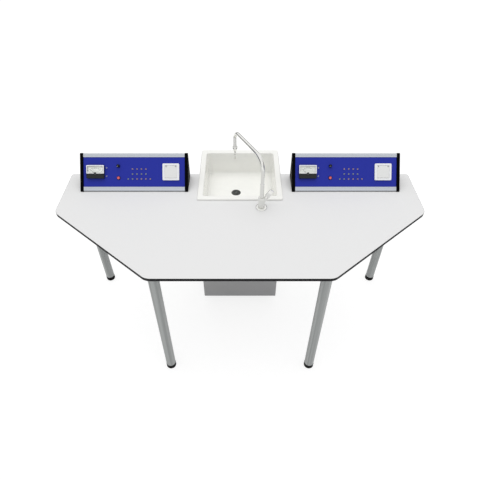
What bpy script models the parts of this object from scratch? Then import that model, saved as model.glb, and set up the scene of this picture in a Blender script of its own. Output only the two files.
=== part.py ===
"""Half-octagon laboratory table.

A compact laminate worktop stands on four round legs with levelling feet. A ceramic sink sits half
over the rear edge on a service cabinet, a swivel tap serves it, and two sloping instrument
consoles stand to the left and right of it.

Units are metres. X runs to the user's right, Y to the rear and Z up. The origin lies on the floor
under the middle of the overall outline.
"""
import math

import bmesh
import bpy
from mathutils import Matrix, Vector

# Fits and facets
FIT = 0.0003
RUNNING_GAP = 0.0005
CUT_PAST = 0.004
ARC_STEPS = 5
BEND_STEPS = 6
ROUND_SIDES = 20
SLIM_SIDES = 16
SMALL_SIDES = 12
JACK_SIDES = 8

# Worktop
TABLE_HEIGHT = 0.800
WORKTOP_THICKNESS = 0.016
WORKTOP_WIDTH = 1.820
WORKTOP_DEPTH = 0.745
FRONT_EDGE = 0.804
SIDE_EDGE = 0.320
FRONT_CORNER_RADIUS = 0.060
REAR_CORNER_RADIUS = 0.012
EDGE_EASE = 0.0012
NOTCH_GAP = 0.003
NOTCH_CORNER_RADIUS = 0.022
CABLE_HOLE_RADIUS = 0.015

# Legs and feet
LEG_DIAMETER = 0.050
LEG_WALL = 0.002
LEG_INSET = 0.055
LEG_TOP_PLATE = 0.004
LEG_INSERT = 0.022
FOOT_HEIGHT = 0.028
FOOT_PROUD = 0.001
FOOT_EDGE = 0.004
FOOT_STUD_RADIUS = 0.006
FOOT_STUD_LENGTH = 0.045

# Under-frame
RAIL_WIDTH = 0.020
RAIL_HEIGHT = 0.040
RAIL_WALL = 0.002
BEARER_GAP = 0.010

# Service cabinet
BOARD = 0.016
CABINET_SIDE_GAP = 0.005
CABINET_REAR_GAP = 0.003
CABINET_FRONT_PROUD = 0.0215
PLINTH_HEIGHT = 0.054
PLINTH_FRONT_INSET = 0.055
PLINTH_SIDE_INSET = 0.024
BOARD_EASE = 0.0008

# Sink and waste
SINK_WIDTH = 0.436
SINK_LENGTH = 0.4485
SINK_OVERHANG = 0.221
SINK_RIM_HEIGHT = 0.010
SINK_RIM_RADIUS = 0.012
SINK_RIM_EASE = 0.004
SINK_RIM_SIDE = 0.029
SINK_RIM_FRONT = 0.0275
SINK_RIM_REAR = 0.033
BOWL_DEPTH = 0.136
BOWL_CORNER_RADIUS = 0.012
BOWL_DRAFT = 0.008
BOWL_FLOOR_FILLET = 0.012
BOWL_FLOOR_FALL = 0.004
BOWL_WALL = 0.010
DRAIN_X = -0.022
DRAIN_Y = 0.0055
STRAINER_RADIUS = 0.0257
STRAINER_THICKNESS = 0.003
STRAINER_SINK = 0.0004
STRAINER_BAR = 0.005
TAIL_RADIUS = 0.020
TAIL_WALL = 0.002
TAIL_LENGTH = 0.085
BACKNUT_RADIUS = 0.032
BACKNUT_HEIGHT = 0.010
TRAP_RADIUS = 0.034
TRAP_WALL = 0.003
TRAP_COLLAR_RADIUS = 0.027
TRAP_COLLAR_HEIGHT = 0.024
TRAP_HEIGHT = 0.150
TRAP_OUTLET_DROP = 0.055
WASTE_PIPE_RADIUS = 0.020
WASTE_PIPE_WALL = 0.002

# Tap
TAP_X = 0.106
TAP_SETBACK = 0.0535
ROSETTE_RADIUS = 0.029
ROSETTE_HEIGHT = 0.007
SHANK_RADIUS = 0.014
SHANK_BORE = 0.009
SHANK_LENGTH = 0.050
TAP_HOLE_GAP = 0.001
TAP_NUT_FLATS = 0.040
TAP_NUT_HEIGHT = 0.010
TAP_BODY_RADIUS = 0.0165
TAP_BODY_HEIGHT = 0.065
NIPPLE_RADIUS = 0.007
NIPPLE_LENGTH = 0.030
BOSS_RADIUS = 0.0095
BOSS_RISE = math.radians(58)
BOSS_FOOT = 0.028
BOSS_LENGTH = 0.040
BOSS_BORE = 0.0068
BOSS_BORE_DEPTH = 0.018
BOSS_MOUTH = math.radians(48)
CARTRIDGE_LENGTH = 0.013
CARTRIDGE_SLOT_DEPTH = 0.006
LEVER_HUB_RADIUS = 0.0125
LEVER_HUB_COVER = math.radians(55)
LEVER_STEM_RADIUS = 0.0025
LEVER_FACE_TURN = math.radians(60)
LEVER_ROOT_LEAN = math.radians(6)
LEVER_BLADE_LEAN = math.radians(8)
LEVER_BEND = math.radians(14)
LEVER_BEND_RADIUS = 0.172
LEVER_ROOT_WIDTH = 0.024
LEVER_TIP_WIDTH = 0.022
LEVER_ROOT_THICKNESS = 0.008
LEVER_TIP_THICKNESS = 0.006
SPOUT_REACH = 0.281
SPOUT_TURN = math.radians(27.9)
SPOUT_RADIUS = 0.0085
SPOUT_NECK_PROUD = 0.0017
SPOUT_NECK_TOP = 0.143
SPOUT_ARM_HEIGHT = 0.2825
SPOUT_FIRST_BEND = 0.066
SPOUT_LAST_BEND = 0.040
SPOUT_OUTLET_HEIGHT = 0.183
NOZZLE_PROUD = 0.0045
NOZZLE_GRIP = 0.012
NOZZLE_CONE = 0.018
NOZZLE_TAIL_RADIUS = 0.0044
NOZZLE_TAIL = 0.044
NOZZLE_BARBS = 3
NOZZLE_BORE = 0.0026

# Consoles
CONSOLE_LENGTH = 0.556
CONSOLE_SIDE_INSET = 0.086
CONSOLE_SETBACK = 0.0224
CONSOLE_DEPTH = 0.133
CONSOLE_HEIGHT = 0.147
CONSOLE_NOSE = 0.006
CONSOLE_TOP_FLAT = 0.006
CONSOLE_CORNER = 0.003
PROFILE_WALL = 0.0025
LIP_BOTTOM = 0.0208
LIP_TOP = 0.0172
LIP_THICKNESS = 0.002
LIP_BACK = 0.003
GROOVE_DEPTH = 0.006
CAP_THICKNESS = 0.017
CAP_PROUD = 0.0015
CAP_CORNER = 0.006
CAP_EASE = 0.0015
PANEL_THICKNESS = 0.003
PANEL_PLAY = 0.0005

# Panel meter
METER_WIDTH = 0.090
METER_HEIGHT = 0.068
METER_DEPTH = 0.015
METER_MARGIN = 0.0185
METER_BODY_RADIUS = 0.024
METER_BODY_DEPTH = 0.028
METER_PLATE = 0.003
METER_COVER_WALL = 0.0015
METER_COVER_CORNER = 0.003
METER_SEAT = 0.004
DIAL_THICKNESS = 0.0008
DIAL_BORDER = 0.004
NEEDLE_PIVOT_DROP = 0.014
NEEDLE_LENGTH = 0.038
NEEDLE_TAIL = 0.008
NEEDLE_WIDTH = 0.0012
NEEDLE_THICKNESS = 0.0006
NEEDLE_HUB_RADIUS = 0.003
NEEDLE_HUB_HEIGHT = 0.002
NEEDLE_LIFT = 0.001
NEEDLE_SHAFT_RADIUS = 0.001
NEEDLE_SHAFT_LENGTH = 0.004
NEEDLE_REST = math.radians(45)

# Knob, push button and jacks
CONTROL_X = -0.0805
CONTROL_HALF_PITCH = 0.0305
KNOB_RADIUS = 0.008
KNOB_HEIGHT = 0.014
KNOB_LIFT = 0.001
KNOB_SHAFT_RADIUS = 0.003
KNOB_SHAFT_LENGTH = 0.013
BUTTON_RADIUS = 0.0070
BUTTON_HEIGHT = 0.006
BUTTON_LENGTH = 0.009
JACK_RADIUS = 0.0038
JACK_BORE = 0.002
JACK_HEIGHT = 0.003
JACK_BORE_DEPTH = 0.014
JACK_COLUMNS = 6
JACK_FIRST_X = -0.031
JACK_PITCH = 0.0229
JACK_ROW_PITCH = 0.0256
JACK_MIDDLE_ROW = -0.0103
METER_JACK_GAP = 0.0105
METER_JACK_HALF_PITCH = 0.0212
BOARD_DROP = 0.016
BOARD_THICKNESS = 0.002
BOARD_BORDER = 0.008

# Mains outlet
OUTLET_SIZE = 0.086
OUTLET_MARGIN = 0.0275
OUTLET_THICKNESS = 0.009
OUTLET_CORNER = 0.005
OUTLET_EASE = 0.0015
OUTLET_BODY_WALL = 0.00525
OUTLET_BODY_DEPTH = 0.034
WELL_RADIUS = 0.01975
WELL_DEPTH = 0.016
PIN_HOLE_RADIUS = 0.0026
PIN_HOLE_DEPTH = 0.016
PIN_HALF_PITCH = 0.0095
LID_SIDE_BORDER = 0.012
LID_END_BORDER = 0.0105
LID_THICKNESS = 0.004
LID_GAP = 0.0005
LID_LUG_INSET = 0.0065
LID_LUG_WIDTH = 0.0046
LID_LUG_LENGTH = 0.0057
LID_SLOT_LENGTH = 0.008

# Transformer
CORE_LENGTH = 0.056
CORE_HEIGHT = 0.042
COIL_LENGTH = 0.080
COIL_HEIGHT = 0.028
CORE_DEPTH = 0.036
CORE_REAR_GAP = 0.008
CORE_X = 0.060

# Places that follow from the sizes above
UNDERSIDE = TABLE_HEIGHT - WORKTOP_THICKNESS
REAR_Y = (WORKTOP_DEPTH - SINK_OVERHANG) / 2
SINK_FRONT_Y = REAR_Y + SINK_OVERHANG - SINK_LENGTH
BOWL_WIDTH = SINK_WIDTH - 2 * SINK_RIM_SIDE
BOWL_LENGTH = SINK_LENGTH - SINK_RIM_FRONT - SINK_RIM_REAR
BOWL_Y = SINK_FRONT_Y + SINK_RIM_FRONT + BOWL_LENGTH / 2
CABINET_WIDTH = BOWL_WIDTH + 2 * (BOWL_WALL + CABINET_SIDE_GAP + BOARD)
CABINET_FRONT_Y = SINK_FRONT_Y - CABINET_FRONT_PROUD
CABINET_REAR_Y = BOWL_Y + BOWL_LENGTH / 2 + BOWL_WALL + CABINET_REAR_GAP + BOARD
DRAIN = Vector((DRAIN_X, BOWL_Y + DRAIN_Y))
BOWL_FLOOR_Z = TABLE_HEIGHT + SINK_RIM_HEIGHT - BOWL_DEPTH
STRAINER_TOP_Z = BOWL_FLOOR_Z - STRAINER_SINK
TAIL_END_Z = STRAINER_TOP_Z - TAIL_LENGTH
TAP = Vector((TAP_X, SINK_FRONT_Y - TAP_SETBACK))
BODY_FOOT = ROSETTE_HEIGHT + 2 * FIT
FACE_RUN = CONSOLE_DEPTH - CONSOLE_TOP_FLAT
FACE_RISE = CONSOLE_HEIGHT - CONSOLE_NOSE
FACE_LENGTH = math.hypot(FACE_RUN, FACE_RISE)
FACE_ANGLE = math.atan2(FACE_RISE, FACE_RUN)
CONSOLE_X = WORKTOP_WIDTH / 2 - CONSOLE_SIDE_INSET - CONSOLE_LENGTH / 2
PROFILE_LENGTH = CONSOLE_LENGTH - 2 * CAP_THICKNESS - 2 * FIT
PANEL_LOW = LIP_BOTTOM
PANEL_HIGH = FACE_LENGTH - LIP_TOP
PANEL_MIDDLE = (PANEL_LOW + PANEL_HIGH) / 2
PANEL_Z = -LIP_THICKNESS - FIT
METER_X = METER_MARGIN + METER_WIDTH / 2 - PROFILE_LENGTH / 2
METER_JACK_X = METER_X + METER_WIDTH / 2 + METER_JACK_GAP
OUTLET_X = PROFILE_LENGTH / 2 - OUTLET_MARGIN - OUTLET_SIZE / 2
BOARD_TOP = -PANEL_THICKNESS - BOARD_DROP
OUTLET_BODY_RADIUS = WELL_RADIUS + OUTLET_BODY_WALL
LID_WIDTH = OUTLET_SIZE - 2 * LID_SIDE_BORDER
LID_HEIGHT = OUTLET_SIZE - 2 * LID_END_BORDER
LID_LUG_X = LID_WIDTH / 2 - LID_LUG_INSET
RECESS_FLOOR = OUTLET_THICKNESS - LID_THICKNESS - 2 * LID_GAP
LID_AXIS_W = LID_HEIGHT / 2 - LID_THICKNESS / 2
LID_AXIS_Z = RECESS_FLOOR + LID_GAP + LID_THICKNESS / 2


def srgb(red, green, blue):
    """Linear colour from 8-bit display values."""
    def linear(value):
        level = value / 255
        return level / 12.92 if level <= 0.04045 else ((level + 0.055) / 1.055) ** 2.4
    return linear(red), linear(green), linear(blue)


def finish(name, colour, roughness, metallic=0.0):
    """Principled material of one finish."""
    material = bpy.data.materials.new(name)
    material.use_nodes = True
    shader = material.node_tree.nodes["Principled BSDF"]
    shader.inputs["Base Color"].default_value = (*colour, 1.0)
    shader.inputs["Roughness"].default_value = roughness
    shader.inputs["Metallic"].default_value = metallic
    return material


def to_mesh(name, bm):
    """Mesh from a bmesh, with its faces pointing out and its round sides shaded smooth."""
    bmesh.ops.recalc_face_normals(bm, faces=bm.faces)
    mesh = bpy.data.meshes.new(name)
    bm.to_mesh(mesh)
    bm.free()
    mesh.shade_smooth()
    mesh.set_sharp_from_angle(angle=math.radians(35))
    return mesh


def add(name, bm, material, location=(0, 0, 0), parent=None):
    """Object of one sub-part."""
    mesh = to_mesh(name, bm)
    mesh.materials.append(material)
    part = bpy.data.objects.new(name, mesh)
    bpy.context.collection.objects.link(part)
    part.location = location
    part.parent = parent
    return part


def combine(part, bm, operation):
    """Boolean of a part with a helper shape given in the part's own frame."""
    helper = bpy.data.objects.new(f"{part.name}_{operation.lower()}", to_mesh("helper", bm))
    bpy.context.collection.objects.link(helper)
    helper.parent = part
    helper.hide_render = True
    helper.display_type = "WIRE"
    modifier = part.modifiers.new(operation.title(), "BOOLEAN")
    modifier.operation = operation
    modifier.solver = "EXACT"
    modifier.object = helper


def cut(part, bm):
    combine(part, bm, "DIFFERENCE")


def fuse(part, bm):
    combine(part, bm, "UNION")


def empty(name, location, parent=None):
    """Frame that carries the pieces of one group."""
    holder = bpy.data.objects.new(name, None)
    bpy.context.collection.objects.link(holder)
    holder.location = location
    holder.parent = parent
    return holder


def loft(rings, wrap=False):
    """Skin through rings of points; a ring of one point is a tip, and open ends get a flat cap."""
    bm = bmesh.new()
    loops = [[bm.verts.new(point) for point in ring] for ring in rings]
    sides = max(len(loop) for loop in loops)
    following = loops[1:] + (loops[:1] if wrap else [])
    for lower, upper in zip(loops, following):
        for i in range(sides):
            j = i + 1
            corners = (lower[i % len(lower)], lower[j % len(lower)], upper[j % len(upper)], upper[i % len(upper)])
            corners = list(dict.fromkeys(corners))
            if len(corners) > 2:
                bm.faces.new(corners)
    if not wrap:
        for end in (loops[0], loops[-1]):
            if len(end) > 1:
                bm.faces.new(end)
    return bm


def circle(radius, height, sides, centre=(0, 0)):
    """Ring of points; half a step round, so that a flat side lies on each axis."""
    turns = [2 * math.pi * (i + 0.5) / sides for i in range(sides)]
    return [(centre[0] + radius * math.cos(t), centre[1] + radius * math.sin(t), height) for t in turns]


def turned(profile, sides=ROUND_SIDES, wrap=False):
    """Solid of revolution about Z from (radius, height) points; open ends are flat discs."""
    return loft([circle(r, h, sides) if r > 0 else [(0, 0, h)] for r, h in profile], wrap)


def arc(centre, radius, first, last, steps=ARC_STEPS):
    """Points (x, y) along an arc, angles in radians."""
    angles = [first + (last - first) * i / steps for i in range(steps + 1)]
    return [(centre[0] + radius * math.cos(a), centre[1] + radius * math.sin(a)) for a in angles]


def rounded(corners, steps=ARC_STEPS):
    """Outline through corners (x, y, radius), each corner rounded to its radius."""
    points = []
    for i, (x, y, radius) in enumerate(corners):
        corner = Vector((x, y))
        if radius == 0:
            points.append((x, y))
            continue
        before = (Vector(corners[i - 1][:2]) - corner).normalized()
        after = (Vector(corners[(i + 1) % len(corners)][:2]) - corner).normalized()
        half = before.angle(after) / 2
        centre = corner + (before + after).normalized() * radius / math.sin(half)
        start = corner + before * radius / math.tan(half) - centre
        end = corner + after * radius / math.tan(half) - centre
        first = math.atan2(start.y, start.x)
        sweep = (math.atan2(end.y, end.x) - first + math.pi) % (2 * math.pi) - math.pi
        points += arc(centre, radius, first, first + sweep, steps)
    return points


def rectangle(width, height, radius=0.0, centre=(0, 0)):
    """Corners of a rectangle for rounded()."""
    x, y = centre
    signs = ((-1, -1), (1, -1), (1, 1), (-1, 1))
    return [(x + sx * width / 2, y + sy * height / 2, radius) for sx, sy in signs]


def prism(outline, low, high):
    """Outline in X and Y raised from one height to another."""
    return loft([[(x, y, low) for x, y in outline], [(x, y, high) for x, y in outline]])


def along_x(bm):
    """Turns a prism so that its outline lies in Y and Z and it runs along X."""
    axes = Matrix(((0, 0, 1, 0), (1, 0, 0, 0), (0, 1, 0, 0), (0, 0, 0, 1)))
    bmesh.ops.transform(bm, matrix=axes, verts=bm.verts)
    return bm


def along_y(bm):
    """Turns a shape about X so that its own Z runs along Y."""
    bmesh.ops.transform(bm, matrix=Matrix.Rotation(-math.pi / 2, 4, "X"), verts=bm.verts)
    return bm


def moved(bm, offset):
    bmesh.ops.translate(bm, vec=Vector(offset), verts=bm.verts)
    return bm


def together(shapes):
    """Several separate shapes in one bmesh."""
    whole = bmesh.new()
    for bm in shapes:
        mesh = bpy.data.meshes.new("piece")
        bmesh.ops.recalc_face_normals(bm, faces=bm.faces)
        bm.to_mesh(mesh)
        bm.free()
        whole.from_mesh(mesh)
        bpy.data.meshes.remove(mesh)
    return whole


def eased(bm, width, steps=1):
    """Small bevel on the edges where a prism's sides meet its two ends."""
    heights = [v.co.z for v in bm.verts]
    ends = (min(heights), max(heights))
    rims = [e for e in bm.edges if e.verts[0].co.z == e.verts[1].co.z and e.verts[0].co.z in ends]
    bmesh.ops.bevel(bm, geom=rims, offset=width, segments=steps, affect="EDGES")
    return bm


def hole(radius, low, high, centre=(0, 0), sides=SMALL_SIDES):
    """Cutter for a round hole along Z."""
    return loft([circle(radius, low, sides, centre), circle(radius, high, sides, centre)])


def worktop(finishes):
    """Compact laminate slab with chamfered front corners and a notch for the sink in its rear edge."""
    half_width = WORKTOP_WIDTH / 2
    half_front = FRONT_EDGE / 2
    front_y = REAR_Y - WORKTOP_DEPTH
    side_y = REAR_Y - SIDE_EDGE
    notch_x = BOWL_WIDTH / 2 + BOWL_WALL + NOTCH_GAP
    notch_y = BOWL_Y - BOWL_LENGTH / 2 - BOWL_WALL - NOTCH_GAP
    outline = rounded([
        (-half_width, REAR_Y, REAR_CORNER_RADIUS),
        (-half_width, side_y, FRONT_CORNER_RADIUS),
        (-half_front, front_y, FRONT_CORNER_RADIUS),
        (half_front, front_y, FRONT_CORNER_RADIUS),
        (half_width, side_y, FRONT_CORNER_RADIUS),
        (half_width, REAR_Y, REAR_CORNER_RADIUS),
        (notch_x, REAR_Y, 0),
        (notch_x, notch_y, NOTCH_CORNER_RADIUS),
        (-notch_x, notch_y, NOTCH_CORNER_RADIUS),
        (-notch_x, REAR_Y, 0),
    ])
    slab = add("worktop", eased(prism(outline, UNDERSIDE, TABLE_HEIGHT), EDGE_EASE), finishes["laminate"])
    low = UNDERSIDE - CUT_PAST
    high = TABLE_HEIGHT + CUT_PAST
    cable_y = REAR_Y - CONSOLE_SETBACK - CONSOLE_DEPTH / 2
    cut(slab, together([
        hole(SHANK_RADIUS + TAP_HOLE_GAP, low, high, TAP, ROUND_SIDES),
        hole(CABLE_HOLE_RADIUS, low, high, (-CONSOLE_X, cable_y)),
        hole(CABLE_HOLE_RADIUS, low, high, (CONSOLE_X, cable_y)),
    ]))


def leg_spots():
    """Leg centres: one inset from the front, chamfer, side and rear edges alike."""
    run = (WORKTOP_WIDTH - FRONT_EDGE) / 2
    rise = WORKTOP_DEPTH - SIDE_EDGE
    front_x = FRONT_EDGE / 2 + LEG_INSET * (run - math.hypot(run, rise)) / rise
    front_y = REAR_Y - WORKTOP_DEPTH + LEG_INSET
    rear_x = WORKTOP_WIDTH / 2 - LEG_INSET
    rear_y = REAR_Y - LEG_INSET
    return {
        "front_left": (-front_x, front_y),
        "front_right": (front_x, front_y),
        "rear_left": (-rear_x, rear_y),
        "rear_right": (rear_x, rear_y),
    }


def leg(corner, spot, finishes):
    """Round tube, closed by a welded plate on top and by a threaded insert at its foot."""
    outer = LEG_DIAMETER / 2
    inner = outer - LEG_WALL
    bore = FOOT_STUD_RADIUS + FIT
    low = FOOT_HEIGHT + FIT
    high = UNDERSIDE - FIT
    add(f"leg_{corner}", turned([
        (outer, high),
        (outer, low),
        (bore, low),
        (bore, low + LEG_INSERT),
        (inner, low + LEG_INSERT),
        (inner, high - LEG_TOP_PLATE),
    ]), finishes["frame_paint"], (*spot, 0))


def foot(corner, spot, finishes):
    """Black levelling foot on a threaded stud; it unscrews downwards."""
    outer = LEG_DIAMETER / 2 + FOOT_PROUD
    sole = arc((outer - FOOT_EDGE, FOOT_EDGE), FOOT_EDGE, 0, -math.pi / 2, 2)
    add(f"foot_{corner}", turned([
        (FOOT_STUD_RADIUS, FOOT_HEIGHT + FOOT_STUD_LENGTH),
        (FOOT_STUD_RADIUS, FOOT_HEIGHT),
        (outer, FOOT_HEIGHT),
        *sole,
    ]), finishes["foot_plastic"], (*spot, 0))


def rail(name, start, end, leg_at_start, leg_at_end, finishes, beside=None):
    """Rectangular tube under the worktop; an end at a leg is coped to the round tube.

    A rail beside another one from the same leg is also trimmed clear of it, beside being that
    other rail's far end.
    """
    run = Vector(end) - Vector(start)
    rings = []
    for x, inset in ((0, 0), (run.length, 0), (run.length, RAIL_WALL), (0, RAIL_WALL)):
        y = RAIL_WIDTH / 2 - inset
        z = RAIL_HEIGHT / 2 - inset
        rings.append([(x, -y, -z), (x, y, -z), (x, y, z), (x, -y, z)])
    middle_z = UNDERSIDE - FIT - RAIL_HEIGHT / 2
    bar = add(name, loft(rings, wrap=True), finishes["frame_paint"], (*start, middle_z))
    bar.rotation_euler.z = math.atan2(run.y, run.x)
    cope = (LEG_DIAMETER / 2 + FIT) / math.cos(math.pi / ROUND_SIDES)
    for x, needed in ((0, leg_at_start), (run.length, leg_at_end)):
        if needed:
            cut(bar, hole(cope, -RAIL_HEIGHT, RAIL_HEIGHT, (x, 0), ROUND_SIDES))
    if beside:
        away = Vector(beside) - Vector(start)
        strip = rectangle(away.length, RAIL_WIDTH + 2 * FIT, centre=(away.length / 2, 0))
        trim = prism(rounded(strip), -RAIL_HEIGHT, RAIL_HEIGHT)
        turn = math.atan2(away.y, away.x) - bar.rotation_euler.z
        bmesh.ops.rotate(trim, matrix=Matrix.Rotation(turn, 3, "Z"), verts=trim.verts)
        cut(bar, trim)


def under_frame(finishes):
    """Legs, feet and the rails and bearers that join them under the worktop."""
    spots = leg_spots()
    for corner, spot in spots.items():
        leg(corner, spot, finishes)
        foot(corner, spot, finishes)
    rail("rail_front", spots["front_left"], spots["front_right"], True, True, finishes)
    bearer_x = CABINET_WIDTH / 2 + BEARER_GAP + RAIL_WIDTH / 2
    bearer_front = spots["front_left"][1] + RAIL_WIDTH / 2 + FIT
    bearer_rear = spots["rear_left"][1] + RAIL_WIDTH / 2
    for side, sign in (("left", -1), ("right", 1)):
        front = spots[f"front_{side}"]
        rear = spots[f"rear_{side}"]
        inner = (sign * (bearer_x + RAIL_WIDTH / 2 + FIT), rear[1])
        rail(f"rail_{side}", front, rear, True, True, finishes)
        rail(f"rail_rear_{side}", rear, inner, True, False, finishes, front)
        x = sign * bearer_x
        rail(f"bearer_{side}", (x, bearer_front), (x, bearer_rear), False, False, finishes)


def board(name, low, high, material):
    """Flat board between two opposite corners, its edges eased."""
    size = Vector(high) - Vector(low)
    middle = (Vector(high) + Vector(low)) / 2
    bm = bmesh.new()
    bmesh.ops.create_cube(bm, size=1, matrix=Matrix.Diagonal((*size, 1)))
    bmesh.ops.bevel(bm, geom=bm.edges[:], offset=BOARD_EASE, segments=1, affect="EDGES")
    return add(name, bm, material, middle)


def service_cabinet(finishes):
    """Boxed pedestal that carries the sink's rear half and hides the waste trap."""
    coat = finishes["cabinet_paint"]
    half = CABINET_WIDTH / 2
    low = PLINTH_HEIGHT + FIT
    under_top = UNDERSIDE - FIT
    under_rim = TABLE_HEIGHT
    front_back = CABINET_FRONT_Y + BOARD
    board("cabinet_front", (-half, CABINET_FRONT_Y, low), (half, front_back, under_top), coat)

    step_y = REAR_Y + FIT
    side_outline = [
        (front_back + FIT, low),
        (CABINET_REAR_Y, low),
        (CABINET_REAR_Y, under_rim),
        (step_y, under_rim),
        (step_y, under_top),
        (front_back + FIT, under_top),
    ]
    for side, x in (("left", -half), ("right", half - BOARD)):
        add(f"cabinet_side_{side}", along_x(prism(side_outline, 0, BOARD)), coat, (x, 0, 0))

    inside = half - BOARD - FIT
    back = board("cabinet_back", (-inside, CABINET_REAR_Y - BOARD, low + BOARD + FIT),
                 (inside, CABINET_REAR_Y, under_rim), coat)
    pipe = hole(WASTE_PIPE_RADIUS + FIT, -BOARD, BOARD, sides=ROUND_SIDES)
    at_pipe = Vector((DRAIN.x, CABINET_REAR_Y - BOARD / 2, trap_outlet_z())) - Vector(back.location)
    cut(back, moved(along_y(pipe), at_pipe))

    deck_x = half - BOARD - FIT
    deck_front = front_back + FIT
    kick_x = half - PLINTH_SIDE_INSET
    kick_front = CABINET_FRONT_Y + PLINTH_FRONT_INSET
    kick_rear = CABINET_REAR_Y - PLINTH_SIDE_INSET

    def ring(x, front, rear, z):
        return [(-x, front, z), (x, front, z), (x, rear, z), (-x, rear, z)]

    add("cabinet_plinth", loft([
        ring(kick_x - BOARD, kick_front + BOARD, kick_rear - BOARD, low),
        ring(kick_x - BOARD, kick_front + BOARD, kick_rear - BOARD, 0),
        ring(kick_x, kick_front, kick_rear, 0),
        ring(kick_x, kick_front, kick_rear, low),
        ring(deck_x, deck_front, CABINET_REAR_Y, low),
        ring(deck_x, deck_front, CABINET_REAR_Y, low + BOARD),
    ]), finishes["plinth_paint"])


def bowl_ring(half_x, half_y, radius, z, shift=0.0):
    """Rounded rectangle about the bowl's middle, or shifted along Y, with as many points as a drain ring."""
    outline = rounded(rectangle(2 * half_x, 2 * half_y, radius))
    return [(x, y + shift, z) for x, y in outline]


def drain_ring(radius, z):
    """Circle at the drain whose points match those of bowl_ring."""
    count = 4 * (ARC_STEPS + 1)
    turns = [math.pi + 2 * math.pi * (i + 0.5) / count for i in range(count)]
    return [(DRAIN_X + radius * math.cos(t), DRAIN_Y + radius * math.sin(t), z) for t in turns]


def sink(finishes):
    """Thick glazed basin with a flat rim, a drafted bowl and a stepped drain hole."""
    half_x = BOWL_WIDTH / 2
    half_y = BOWL_LENGTH / 2
    rim_x = SINK_WIDTH / 2
    rim_y = SINK_LENGTH / 2
    rim_shift = (SINK_RIM_REAR - SINK_RIM_FRONT) / 2
    rim_top = TABLE_HEIGHT + SINK_RIM_HEIGHT
    rim_low = TABLE_HEIGHT + FIT
    ease = SINK_RIM_EASE
    foot_x = half_x - BOWL_DRAFT
    foot_y = half_y - BOWL_DRAFT
    wall_z = BOWL_FLOOR_Z + BOWL_FLOOR_FALL
    seat_z = STRAINER_TOP_Z - STRAINER_THICKNESS - FIT
    base_z = BOWL_FLOOR_Z - BOWL_WALL
    curve = BOWL_FLOOR_FILLET
    rings = [
        drain_ring(TAIL_RADIUS + RUNNING_GAP, base_z),
        drain_ring(TAIL_RADIUS + RUNNING_GAP, seat_z),
        drain_ring(STRAINER_RADIUS + RUNNING_GAP, seat_z),
        drain_ring(STRAINER_RADIUS + RUNNING_GAP, BOWL_FLOOR_Z),
    ]
    for inward, up in arc((0, 0), curve, -math.pi / 2, 0, 3):
        shrink = curve - inward
        radius = BOWL_CORNER_RADIUS + curve - shrink
        rings.append(bowl_ring(foot_x - shrink, foot_y - shrink, radius, wall_z + curve + up))
    for inward, up in arc((0, 0), ease, math.pi, math.pi / 2, 2):
        grow = ease + inward
        radius = BOWL_CORNER_RADIUS + grow
        rings.append(bowl_ring(half_x + grow, half_y + grow, radius, rim_top - ease + up))
    for outward, up in arc((0, 0), ease, math.pi / 2, 0, 2):
        shrink = ease - outward
        radius = SINK_RIM_RADIUS - shrink
        rings.append(bowl_ring(rim_x - shrink, rim_y - shrink, radius, rim_top - ease + up, rim_shift))
    outer_radius = BOWL_CORNER_RADIUS + BOWL_WALL
    rings += [
        bowl_ring(rim_x, rim_y, SINK_RIM_RADIUS, rim_low, rim_shift),
        bowl_ring(half_x + BOWL_WALL, half_y + BOWL_WALL, outer_radius, rim_low),
        bowl_ring(foot_x + BOWL_WALL, foot_y + BOWL_WALL, outer_radius, base_z + curve),
        bowl_ring(foot_x + BOWL_WALL - curve, foot_y + BOWL_WALL - curve, outer_radius, base_z),
    ]
    add("sink_basin", loft(rings, wrap=True), finishes["glaze"], (0, BOWL_Y, 0))


def trap_top_z():
    return TAIL_END_Z + TRAP_COLLAR_HEIGHT


def trap_outlet_z():
    return trap_top_z() - TRAP_OUTLET_DROP


def strainer_opening(turn):
    """One of the four openings that leave a cross of bars in the strainer."""
    reach = TAIL_RADIUS - TAIL_WALL - FIT
    side = STRAINER_BAR / 2
    lean = math.asin(side / reach)
    outline = [(side, side), *arc((0, 0), reach, lean, math.pi / 2 - lean, 3)]
    opening = prism(outline, -STRAINER_THICKNESS - CUT_PAST / 2, CUT_PAST)
    bmesh.ops.rotate(opening, matrix=Matrix.Rotation(turn, 3, "Z"), verts=opening.verts)
    return opening


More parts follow.
